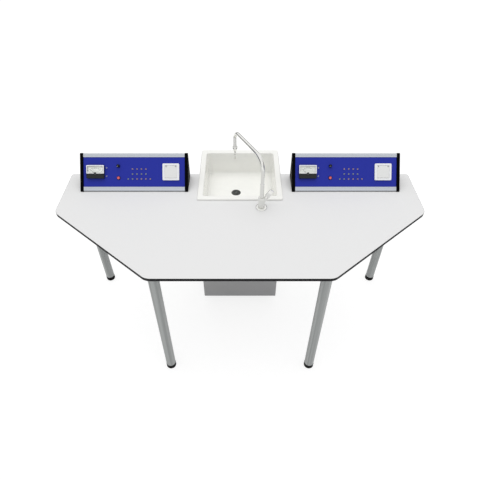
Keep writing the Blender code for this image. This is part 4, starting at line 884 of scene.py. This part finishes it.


# Console housings
# Two instrument consoles near the rear edge. Each is a hollow wedge of satin anodised aluminium
# extrusion, closed by a black moulded cap on each end, and stands on the slab. Its upright foot is
# painted dark grey: painted shade, standing in for the shade under the extrusion's front.
console_x = {"left": -0.546, "right": 0.546}
console_length = 0.556
console_rear = 0.2396
console_foot = slab_high.z + fit_gap
console_depth = 0.133
console_height = 0.147
console_nose = 0.006
console_flat = 0.006
console_corner = 0.003
crest_corner = 0.0027
profile_wall = 0.0025
lip_low = 0.0208
lip_high = 0.0172
lip_thickness = 0.002
lip_corner = 0.0004
rib_thickness = 0.003
groove_width = 0.0010
groove_cut = 0.0006
groove_taper = 0.6
low_groove = 0.0066
high_groove = 0.0086
panel_thickness = 0.003
panel_slot = 0.006
cap_thickness = 0.017
cap_proud = 0.0015
cap_corner = 0.006
cap_ease = 0.0018
nose_facing = 0.9

face_run = console_depth - console_flat
face_rise = console_height - console_nose
face_length = math.hypot(face_run, face_rise)
face_angle = math.atan2(face_rise, face_run)
panel_low = lip_low
panel_high = face_length - lip_high
profile_half = console_length / 2 - cap_thickness - fit_gap


def on_face(distance, depth=0.0):
    """Point (y, z) of the console's section, a distance up its face and a depth below it."""
    y = distance * math.cos(face_angle) + depth * math.sin(face_angle) - console_depth
    z = distance * math.sin(face_angle) - depth * math.cos(face_angle) + console_nose
    return y, z


def face_groove(middle):
    """Corners of a shallow groove in the face, read down the face."""
    half = groove_width / 2
    return [
        (*on_face(middle + half), 0),
        (*on_face(middle + half * groove_taper, groove_cut), 0),
        (*on_face(middle - half * groove_taper, groove_cut), 0),
        (*on_face(middle - half), 0),
    ]


def on_nose(face):
    """Whether a face is the upright foot below the extrusion's slope, which gets the painted shade."""
    nose = console_rear - console_depth
    return face.normal.y < -nose_facing and face.calc_center_median().y < nose + profile_wall


anodised = finish("anodised", srgb(194, 199, 206), 0.34, 0.9)
grain(anodised, 0.0006, tone=0.04, polish=0.07, height=0.000006, stretch=(120, 1, 1))
# Dark grey on the upright foot is painted shade, standing in for the shade under the extrusion's front.
foot_painted_shade = finish("foot_painted_shade", srgb(112, 112, 117), 0.5, 0.6)
grain(foot_painted_shade, 0.0006, tone=0.06, polish=0.07, height=0.000006, stretch=(120, 1, 1))
cap_black = finish("cap_black", srgb(4, 4, 5), 0.48, gloss=0.03)
grain(cap_black, 0.0007, tone=0.2, polish=0.08, height=0.00003)

behind = lip_thickness + panel_thickness + 2 * fit_gap
inside = behind + rib_thickness
low_end = (profile_wall - console_nose + inside * math.cos(face_angle)) / math.sin(face_angle)
high_end = (console_depth - profile_wall - inside * math.sin(face_angle)) / math.cos(face_angle)
section = rounded([
    (*on_face(panel_low), lip_corner),
    *face_groove(panel_low - low_groove),
    (-console_depth, console_nose, console_corner),
    (-console_depth, 0, console_corner),
    (0, 0, console_corner / 2),
    (0, console_height, console_corner),
    (-console_flat, console_height, crest_corner),
    *face_groove(panel_high + high_groove),
    (*on_face(panel_high), lip_corner),
    (*on_face(panel_high, lip_thickness), 0),
    (*on_face(panel_high + panel_slot, lip_thickness), 0),
    (*on_face(panel_high + panel_slot, behind), 0),
    (*on_face(panel_high, behind), 0),
    (*on_face(panel_high, inside), 0),
    (*on_face(high_end, inside), 0),
    (-profile_wall, profile_wall, 0),
    (*on_face(low_end, inside), 0),
    (*on_face(panel_low, inside), 0),
    (*on_face(panel_low, behind), 0),
    (*on_face(panel_low - panel_slot, behind), 0),
    (*on_face(panel_low - panel_slot, lip_thickness), 0),
    (*on_face(panel_low, lip_thickness), 0),
], 6)
lean_low = cap_proud * (1 - math.sin(face_angle)) / math.cos(face_angle)
lean_high = cap_proud * (1 - math.cos(face_angle)) / math.sin(face_angle)
cap_outline = rounded([
    (cap_proud, 0, cap_corner / 3),
    (cap_proud, console_height + cap_proud, cap_corner / 2),
    (-console_flat - lean_high, console_height + cap_proud, cap_corner),
    (-console_depth - cap_proud, console_nose + lean_low, cap_corner),
    (-console_depth - cap_proud, 0, cap_corner / 6),
], 8)
along_x = Matrix(((0, 0, 1, 0), (1, 0, 0, 0), (0, 1, 0, 0), (0, 0, 0, 1)))
for side, x in console_x.items():
    stand = Matrix.Translation((x, console_rear, console_foot))
    profile = loft([[(end, y, z) for y, z in section] for end in (-profile_half, profile_half)])
    piece(f"{side}_housing_extrusion", placed(profile, stand), [anodised, foot_painted_shade], "table",
          [f"{side}_console_housing"], lambda face: int(on_nose(face)))
    for end, start in (("left", -console_length / 2), ("right", console_length / 2 - cap_thickness)):
        cap = plate([cap_outline], 0, cap_thickness, cap_ease, 3)
        placed(cap, stand @ Matrix.Translation((start, 0, 0)) @ along_x)
        piece(f"{side}_cap_moulding_{end}", cap, [cap_black], "table",
              [f"{side}_console_cap_{end}"])


# Console panels
# A blue lacquered aluminium sheet slides into the extrusion's grooves and carries the instruments.
# A mains transformer stands behind it on the floor of the housing.
panel_blue = finish("panel_blue", srgb(41, 52, 160), 0.4, gloss=0.13)
grain(panel_blue, 0.0011, tone=0.04, polish=0.05, height=0.000015)
core_steel = finish("core_steel", srgb(110, 104, 98), 0.5, 1.0)
grain(core_steel, 0.0005, tone=0.15, polish=0.1, stretch=(60, 1, 60))
for side in console_x:
    refinish(f"{side}_console_panel", panel_blue)
    refinish(f"{side}_transformer", core_steel)


# Panel meters
# Moving-coil meters: a white case and dial with a printed scale, a black needle, and a dark moulded
# cover with the zero screw below and an acrylic window above. A white frame round the window and the
# window's white rounded rim are painted highlight, standing in for light caught on the cover's edges.
meter_x = -0.1972
meter_size = (0.090, 0.068)
meter_depth = 0.015
cover_wall = 0.0015
cover_corner = 0.003
cover_edge = 0.0014
joint_corner = 0.0004
least_corner = 0.0003
skirt_top = -0.0095
pivot_drop = 0.014
bump_size = (0.0112, 0.0160)
bump_corner = 0.0042
bump_top = -0.0035
bump_proud = 0.0010
bump_ease = 0.0006
zero_screw_radius = 0.0026
zero_screw_flat = 0.00208
zero_screw_height = 0.0006
zero_screw_edge = 0.0004
dial_top = 0.0081
scale_radius = 0.0335
scale_sweep = math.radians(90)
scale_steps = 50
long_tick = (0.0004, 0.0042)
middle_tick = (0.0002, 0.0032)
short_tick = (0.0002, 0.0022)
band_width = 0.0002
print_lift = 0.00004
print_thickness = 0.00006
print_ease = 0.00001
numeral_height = 0.0042
numeral_drop = 0.00315
half_height = meter_size[1] / 2
window_middle = (0, (half_height + skirt_top) / 2)
bezel_inset = 0.0010
bezel_width = meter_size[0] - 2 * bezel_inset
bezel_length = half_height - skirt_top - 2 * bezel_inset
bezel_border = 0.0040
bezel_foot = 0.0022
bezel_corner = 0.0008
bezel_sunk = 0.0003
bezel_proud = 0.0004
bezel_ease = 0.0002
front_facing = 0.98
rim_facing = 0.1

face_middle = (panel_low + panel_high) / 2
panel_places = {}
for side, x in console_x.items():
    y, z = on_face(face_middle, lip_thickness + fit_gap)
    middle = Matrix.Translation((x, console_rear + y, console_foot + z))
    panel_places[side] = middle @ Matrix.Rotation(face_angle, 4, "X")

# White of the case, also used as painted highlight on the window's frame and rounded rim.
meter_white_and_highlight = finish("meter_white_and_highlight", srgb(246, 246, 248), 0.4)
grain(meter_white_and_highlight, 0.0009, tone=0.01, polish=0.05, height=0.00001)
dial_white = finish("dial_white", srgb(234, 233, 228), 0.55)
grain(dial_white, 0.0006, tone=0.012, polish=0.04)
print_black = finish("print_black", srgb(26, 26, 28), 0.6)
grain(print_black, 0.0004, tone=0.15, polish=0.05)
needle_black = finish("needle_black", srgb(18, 18, 19), 0.4)
grain(needle_black, 0.0005, tone=0.1, polish=0.06)
skirt_dark = finish("skirt_dark", srgb(36, 38, 40), 0.34, gloss=0.2)
grain(skirt_dark, 0.0008, tone=0.08, polish=0.06, height=0.000015)
clear_acrylic = finish("clear_acrylic", srgb(250, 252, 252), 0.03)
clear_shader = clear_acrylic.node_tree.nodes["Principled BSDF"]
clear_shader.inputs["Transmission Weight"].default_value = 1.0
clear_shader.inputs["IOR"].default_value = 1.12
grain(clear_acrylic, 0.02, polish=0.015, detail=1.0)


def cover(low, high, low_corner, high_corner):
    """Hollow lid over a stretch of the meter's height, with rounded edges, open toward the panel."""
    half = meter_size[0] / 2

    def ring(inset, z):
        corner_low = max(low_corner - inset, least_corner)
        corner_high = max(high_corner - inset, least_corner)
        x = half - inset
        outline = [(-x, low + inset, corner_low), (x, low + inset, corner_low),
                   (x, high - inset, corner_high), (-x, high - inset, corner_high)]
        return [(px, py, z) for px, py in rounded(outline, 5)]

    rings = [ring(cover_wall, meter_depth - cover_wall), ring(cover_wall, fit_gap), ring(0, fit_gap)]
    for out, rise in arc((0, 0), cover_edge, 0, quarter, 5):
        rings.append(ring(cover_edge - out, meter_depth - cover_edge + rise))
    return loft(rings)


def cover_finish(wall, meter):
    """Clear front, white rim as painted highlight and white inside, or dark outer side, by the way a face
    looks.
    """
    facing = wall.normal.dot(meter.to_3x3().col[2])
    if abs(facing) > front_facing:
        return 0
    middle = meter @ Vector((*window_middle, meter_depth / 2))
    inside = wall.normal.dot(middle - wall.calc_center_median()) > 0
    return 1 if inside or facing > rim_facing else 2


def numeral(text, x, y, z, size):
    """Printed numeral, centred at a place on the dial."""
    curve = bpy.data.curves.new("numeral", "FONT")
    curve.body = text
    curve.size = size
    curve.align_x = "CENTER"
    curve.align_y = "CENTER"
    curve.extrude = print_thickness / 2
    return curve_shape(curve, (x, y, z))


for side, panel_place in panel_places.items():
    meter = panel_place @ Matrix.Translation((meter_x, 0, 0))
    refinish(f"{side}_meter_case", meter_white_and_highlight)
    refinish(f"{side}_meter_dial", dial_white)
    refinish(f"{side}_meter_needle", needle_black)

    pivot = Matrix.Translation((0, -pivot_drop, 0))
    print_z = dial_top + print_lift
    marks = []
    for i in range(scale_steps + 1):
        lean = scale_sweep * (0.5 - i / scale_steps)
        numbered = i % 10 == 0
        width, length = long_tick if numbered else short_tick if i % 5 else middle_tick
        tick_middle = scale_radius + (length - band_width) / 2
        tick = plate([rounded(rectangle(width, length, centre=(0, tick_middle)))],
                     print_z, print_z + print_thickness, print_ease, 0)
        marks.append(placed(tick, pivot @ Matrix.Rotation(lean, 4, "Z")))
        if numbered:
            reach = scale_radius - numeral_drop
            x = -reach * math.sin(lean)
            y = reach * math.cos(lean) - pivot_drop
            marks.append(numeral(str(i // 10), x, y, print_z + print_thickness / 2, numeral_height))
    first = quarter - scale_sweep / 2
    last = quarter + scale_sweep / 2
    band = arc((0, -pivot_drop), scale_radius, first, last, 40)
    band += arc((0, -pivot_drop), scale_radius - band_width, last, first, 40)
    marks.append(plate([band], print_z, print_z + print_thickness, print_ease, 0))
    piece(f"{side}_dial_scale", placed(joined(marks), meter), [print_black], "table")

    # The white frame round the window is painted highlight, standing in for light caught on the cover's
    # edges.
    border = rectangle(bezel_width, bezel_length, bezel_corner, window_middle)
    opening = rectangle(bezel_width - 2 * bezel_border, bezel_length - bezel_border - bezel_foot,
                        bezel_corner, (0, window_middle[1] + (bezel_foot - bezel_border) / 2))
    bezel = plate([rounded(border, 4), rounded(opening, 4)[::-1]], meter_depth - bezel_sunk,
                  meter_depth + bezel_proud, bezel_ease, 1)
    piece(f"{side}_meter_highlight_frame", placed(bezel, meter), [meter_white_and_highlight], "table")

    window = cover(skirt_top, half_height, joint_corner, cover_corner)
    piece(f"{side}_meter_window", placed(window, meter), [clear_acrylic, meter_white_and_highlight, skirt_dark], "table",
          [f"{side}_meter_cover"], lambda wall: cover_finish(wall, meter))
    skirt = cover(-half_height, skirt_top, cover_corner, joint_corner)
    tongue = rounded(rectangle(*bump_size, bump_corner, (0, bump_top - bump_size[1] / 2)), 6)
    bump_front = meter_depth + bump_proud
    bump = plate([tongue], meter_depth - cover_wall, bump_front, bump_ease, 3)
    piece(f"{side}_meter_skirt", placed(joined([skirt, bump]), meter), [skirt_dark], "table")
    screw = turned([
        (0, bump_front + zero_screw_height),
        (zero_screw_flat, bump_front + zero_screw_height),
        (zero_screw_radius, bump_front + zero_screw_height - zero_screw_edge),
        (zero_screw_radius, meter_depth),
        (0, meter_depth),
    ], 32)
    piece(f"{side}_zero_screw", placed(screw, meter @ pivot), [screw_steel], "table")


# Knob and push button
# A fluted black knob with a white pointer line on its shaft above, and a red push button that slides
# in a black collar below.
control_x = -0.0805
control_pitch = 0.0305
knob_radius = 0.008
knob_lift = 0.001
knob_height = 0.014
knob_foot = 0.0006
knob_skirt = 0.00364
knob_waist = 0.00448
waist_radius = 0.00768
crown_radius = 0.0072
crown_ease = 0.0014
knob_flutes = 18
knob_flute_depth = 0.0007
shaft_radius = 0.003
shaft_length = 0.013
pointer_width = 0.0010
pointer_length = 0.0062
pointer_middle = 0.0040
pointer_round = pointer_width / 2.1
pointer_sunk = 0.0002
pointer_proud = 0.00015
pointer_ease = 0.00005
pointer_turn = math.radians(135)
button_radius = 0.0070
button_height = 0.006
button_length = 0.009
button_ease = 0.0016
dish_radius = 0.00385
dish_depth = 0.0004
collar_radius = 0.0098
collar_height = 0.0028
collar_chamfer = 0.0012
collar_lift = 0.0001

knob_black = finish("knob_black", srgb(14, 15, 20), 0.38, gloss=0.25)
grain(knob_black, 0.0006, tone=0.12, polish=0.07, height=0.00002)
pointer_white = finish("pointer_white", srgb(235, 235, 232), 0.5)
grain(pointer_white, 0.0005, tone=0.02, polish=0.05)
button_red = finish("button_red", srgb(226, 98, 103), 0.3)
grain(button_red, 0.0007, tone=0.04, polish=0.05, height=0.00001)

for side, panel_place in panel_places.items():
    knob_place = panel_place @ Matrix.Translation((control_x, control_pitch, 0))
    crown = knob_lift + knob_height
    edge = arc((crown_radius - crown_ease, crown - crown_ease), crown_ease, quarter, 0, 5)
    knob = turned([
        (0, crown),
        *edge,
        (waist_radius, knob_lift + knob_waist),
        (knob_radius, knob_lift + knob_skirt),
        (knob_radius, knob_lift + knob_foot),
        (knob_radius - knob_foot, knob_lift),
        (shaft_radius, knob_lift),
        (shaft_radius, -shaft_length),
        (0, -shaft_length),
    ], 8 * knob_flutes, flutes=knob_flutes, flute_depth=knob_flute_depth, fluted=(len(edge), len(edge) + 1))
    body = f"{side}_knob_body"
    piece(f"{side}_knob_moulding", placed(knob, knob_place), [knob_black], body,
          [f"{side}_knob"])
    line = rounded(rectangle(pointer_width, pointer_length, pointer_round, (0, pointer_middle)), 4)
    pointer = plate([line], crown - pointer_sunk, crown + pointer_proud, pointer_ease, 0)
    placed(pointer, knob_place @ Matrix.Rotation(pointer_turn, 4, "Z"))
    piece(f"{side}_knob_pointer", pointer, [pointer_white], body)

    button_place = panel_place @ Matrix.Translation((control_x, -control_pitch, 0))
    edge = arc((button_radius - button_ease, button_height - button_ease), button_ease, quarter, 0, 6)
    button = turned([
        (0, button_height - dish_depth),
        (dish_radius, button_height - dish_depth / 2),
        *edge,
        (button_radius, -button_length),
        (0, -button_length),
    ], 48)
    piece(f"{side}_button_moulding", placed(button, button_place), [button_red], f"{side}_button_body",
          [f"{side}_push_button"])
    collar = turned([
        (button_radius + fit_gap, collar_height),
        (collar_radius - collar_chamfer, collar_height),
        (collar_radius, collar_height - collar_chamfer),
        (collar_radius, collar_lift),
        (button_radius + fit_gap, collar_lift),
    ], 48, closed=True)
    piece(f"{side}_button_bezel", placed(collar, button_place), [knob_black], "table")


# Jack field
# Sixteen 4 mm jacks on a circuit board behind the panel: nickel-plated contact sleeves in moulded
# collars, fourteen rose or grey ones in three rows and two lilac ones beside the meter.
jack_first_x = -0.031
jack_pitch = 0.0229
jack_rows = (0.0153, -0.0103, -0.0359)
meter_jack_x = -0.1417
meter_jack_pitch = 0.0212
jack_radius = 0.0038
jack_height = 0.003
jack_edge = 0.0007
jack_round = 0.00021
jack_dish = 0.0003
sleeve_radius = 0.0026
sleeve_bore = 0.002
sleeve_depth = 0.014
sleeve_sunk = 0.0002
board_top = -0.019
board_thickness = 0.002
board_border = 0.0118
board_corner = 0.002
board_ease = 0.0002

collar_rose = finish("collar_rose", srgb(184, 142, 150), 0.4, gloss=0.3)
collar_grey = finish("collar_grey", srgb(134, 148, 156), 0.4, gloss=0.3)
collar_lilac = finish("collar_lilac", srgb(162, 166, 226), 0.4, gloss=0.3)
for moulding in (collar_rose, collar_grey, collar_lilac):
    grain(moulding, 0.0006, tone=0.03, polish=0.05)
nickel = finish("nickel", srgb(168, 166, 162), 0.26, 1.0)
grain(nickel, 0.002, tone=0.04, polish=0.06)
board_green = finish("board_green", srgb(30, 82, 58), 0.4)
grain(board_green, 0.003, tone=0.1, polish=0.08)

rose_jacks = []
grey_jacks = []
lilac_jacks = [(meter_jack_x, sign * meter_jack_pitch) for sign in (1, -1)]
jack_groups = (("rose", rose_jacks, collar_rose), ("grey", grey_jacks, collar_grey),
               ("lilac", lilac_jacks, collar_lilac))
for row, y in enumerate(jack_rows):
    for column in range(6) if row == 2 else range(1, 5):
        rose = row == 0 or row == 2 and column > 1
        (rose_jacks if rose else grey_jacks).append((jack_first_x + jack_pitch * column, y))
board_left = meter_jack_x - board_border
board_right = jack_first_x + 5 * jack_pitch + board_border
board_low = jack_rows[2] - board_border
board_high = control_pitch + board_border
board_middle = ((board_left + board_right) / 2, (board_low + board_high) / 2)
board_size = (board_right - board_left, board_high - board_low)
board_outline = rounded(rectangle(*board_size, board_corner, board_middle), 4)
for side, panel_place in panel_places.items():
    board = plate([board_outline], board_top - board_thickness, board_top, board_ease, 0)
    piece(f"{side}_jack_circuit_board", placed(board, panel_place), [board_green], "table",
          [f"{side}_jack_board"])
    sleeves = []
    for tint, spots, moulding in jack_groups:
        collars = []
        for spot in spots:
            at = Matrix.Translation((*spot, 0))
            collars.append(placed(turned([
                (sleeve_radius, jack_height - jack_dish),
                (jack_radius - jack_edge, jack_height),
                (jack_radius - jack_round, jack_height - jack_round),
                (jack_radius, jack_height - jack_edge),
                (jack_radius, board_top),
                (sleeve_radius, board_top),
            ], 32, closed=True), at))
            sleeves.append(placed(turned([
                (sleeve_bore, jack_height - sleeve_sunk),
                (sleeve_radius, jack_height - sleeve_sunk),
                (sleeve_radius, board_top),
                (0, board_top),
                (0, jack_height - sleeve_depth),
                (sleeve_bore, jack_height - sleeve_depth),
            ], 24, closed=True), at))
        piece(f"{side}_jack_collars_{tint}", placed(joined(collars), panel_place), [moulding], "table")
    piece(f"{side}_jack_sleeves", placed(joined(sleeves), panel_place), [nickel], "table")


# Mains outlets
# A white moulded plate with a round recessed well and two pin holes, closed by a hinged lid that lies
# flush in the plate and swings up on two lugs. A small grey patch over each lug is painted shade,
# standing in for the shade in the hinge slots.
outlet_x = 0.1902
outlet_thickness = 0.009
outlet_edge = 0.0008
lid_edge = 0.0005
finger_edge = 0.0022
hinge_size = (0.0044, 0.0055)
hinge_x = 0.0245
hinge_y = 0.0302
hinge_corner = 0.0008
hinge_proud = 0.0003
hinge_ease = 0.0001

outlet_white = finish("outlet_white", srgb(244, 245, 248), 0.3)
grain(outlet_white, 0.0010, tone=0.006, polish=0.05, height=0.00001)
lid_white = finish("lid_white", srgb(234, 235, 234), 0.34)
grain(lid_white, 0.0010, tone=0.008, polish=0.05, height=0.00001)
# Grey over the lugs is painted shade, standing in for the shade in the hinge slots.
hinge_slot_shade = finish("hinge_slot_shade", srgb(168, 171, 170), 0.4, gloss=0.3)
grain(hinge_slot_shade, 0.0006, tone=0.03, polish=0.05)

for side, panel_place in panel_places.items():
    cover_plate = softened(node_shape(f"{side}_outlet_base"), outlet_edge)
    piece(f"{side}_outlet_moulding", cover_plate, [outlet_white], "table",
          [f"{side}_outlet_base"])
    lid = node_shape(f"{side}_outlet_lid")
    outward = panel_place.to_3x3() @ Vector((0, -1, 1))
    lower = max(lid.edges, key=lambda edge: outward.dot(edge.verts[0].co + edge.verts[1].co))
    bmesh.ops.bevel(lid, geom=[lower], offset=finger_edge, segments=3, affect="EDGES")
    softened(lid, lid_edge)
    piece(f"{side}_outlet_flap", lid, [lid_white], f"{side}_lid", [f"{side}_outlet_lid"])
    hinges = []
    for sign in (-1, 1):
        hinge = rounded(rectangle(*hinge_size, hinge_corner, (outlet_x + sign * hinge_x, hinge_y)), 4)
        front = outlet_thickness + hinge_proud
        hinges.append(plate([hinge], outlet_thickness - hinge_proud, front, hinge_ease, 0))
    piece(f"{side}_outlet_hinges", placed(joined(hinges), panel_place), [hinge_slot_shade], "table")


# Studio
# A plain white floor that keeps the soft shadow, an even white surround, one very broad lamp overhead
# and the camera at the photograph's angle. Two dark cards beside the table and a grey one far behind it
# are seen only as reflections.
camera_place = Vector((0, -1.6629, 2.189))
camera_tilt = math.radians(45.5)
camera_lens = 32.4
floor_half = 30
floor_white = 0.8
shadow_share = 0.26
floor_glow = 0.82
surround_light = 0.61
lamp_from = Vector((-0.04, 0.06, 1.0))
lamp_spread = math.radians(66)
lamp_strength = 1.25
side_card_x = 1.6
side_card_y = (-1.0, 1.6)
side_card_z = (0.45, 1.35)
side_card_grey = 0.03
back_card_x = (-9, 9)
back_card_y = 12
back_card_z = (1.15, 7.6)
back_card_grey = 0.5
card_roughness = 0.9


def seen_directly(tree):
    """Factor that is 1 for what the camera, a mirror or a clear cover shows, and 0 for lighting."""
    path = tree.nodes.new("ShaderNodeLightPath")
    total = path.outputs["Is Camera Ray"]
    for ray in ("Is Glossy Ray", "Is Transmission Ray"):
        either = tree.nodes.new("ShaderNodeMath")
        either.operation = "MAXIMUM"
        tree.links.new(total, either.inputs[0])
        tree.links.new(path.outputs[ray], either.inputs[1])
        total = either.outputs["Value"]
    return total


def lit_and_shown(tree, lighting, shown, output):
    """Uses one shader for the light that falls on the table and another for what is seen directly."""
    chosen = tree.nodes.new("ShaderNodeMixShader")
    tree.links.new(seen_directly(tree), chosen.inputs["Fac"])
    tree.links.new(lighting, chosen.inputs[1])
    tree.links.new(shown, chosen.inputs[2])
    tree.links.new(chosen.outputs["Shader"], tree.nodes[output].inputs["Surface"])


def backdrop(name, edges, paint):
    """Flat sheet of the studio."""
    mesh = bpy.data.meshes.new(name)
    mesh.from_pydata(edges, [], [(0, 1, 2, 3)])
    mesh.materials.append(paint)
    item = bpy.data.objects.new(name, mesh)
    bpy.context.collection.objects.link(item)
    return item


floor_paint = bpy.data.materials.new("floor_paint")
floor_paint.use_nodes = True
tree = floor_paint.node_tree
tree.nodes.remove(tree.nodes["Principled BSDF"])
lit = tree.nodes.new("ShaderNodeBsdfDiffuse")
lit.inputs["Color"].default_value = (floor_white, floor_white, floor_white, 1)
shaded = tree.nodes.new("ShaderNodeBsdfDiffuse")
shaded.inputs["Color"].default_value = (shadow_share, shadow_share, shadow_share, 1)
glow = tree.nodes.new("ShaderNodeEmission")
glow.inputs["Strength"].default_value = floor_glow
shown = tree.nodes.new("ShaderNodeAddShader")
tree.links.new(shaded.outputs["BSDF"], shown.inputs[0])
tree.links.new(glow.outputs["Emission"], shown.inputs[1])
lit_and_shown(tree, lit.outputs["BSDF"], shown.outputs["Shader"], "Material Output")
floor_edges = rounded(rectangle(2 * floor_half, 2 * floor_half))
backdrop("floor", [(x, y, 0) for x, y in floor_edges], floor_paint)


def card(name, edges, grey):
    """Upright card that is seen only as a reflection."""
    item = backdrop(name, edges, finish(f"{name}_paint", (grey, grey, grey), card_roughness, gloss=0))
    item.visible_camera = False
    item.visible_diffuse = False
    item.visible_transmission = False
    item.visible_shadow = False


for name, x in (("card_left", -side_card_x), ("card_right", side_card_x)):
    outline = zip(side_card_y + side_card_y[::-1], sorted(side_card_z * 2))
    card(name, [(x, y, z) for y, z in outline], side_card_grey)
outline = zip(back_card_x + back_card_x[::-1], sorted(back_card_z * 2))
card("card_back", [(x, back_card_y, z) for x, z in outline], back_card_grey)

surround = bpy.data.worlds.new("surround")
surround.use_nodes = True
tree = surround.node_tree
light = tree.nodes["Background"]
light.inputs["Color"].default_value = (1, 1, 1, 1)
light.inputs["Strength"].default_value = surround_light
white = tree.nodes.new("ShaderNodeBackground")
white.inputs["Color"].default_value = (1, 1, 1, 1)
lit_and_shown(tree, light.outputs["Background"], white.outputs["Background"], "World Output")
bpy.context.scene.world = surround

lamp_data = bpy.data.lights.new("lamp", "SUN")
lamp_data.angle = lamp_spread
lamp_data.energy = lamp_strength
lamp = bpy.data.objects.new("lamp", lamp_data)
lamp.visible_glossy = False
lamp.rotation_euler = lamp_from.to_track_quat("Z", "Y").to_euler()
bpy.context.collection.objects.link(lamp)

camera_data = bpy.data.cameras.new("camera")
camera_data.lens = camera_lens
camera = bpy.data.objects.new("camera", camera_data)
camera.location = camera_place
camera.rotation_euler = (camera_tilt, 0, 0)
bpy.context.collection.objects.link(camera)
bpy.context.scene.camera = camera
bpy.context.scene.view_settings.view_transform = "Standard"
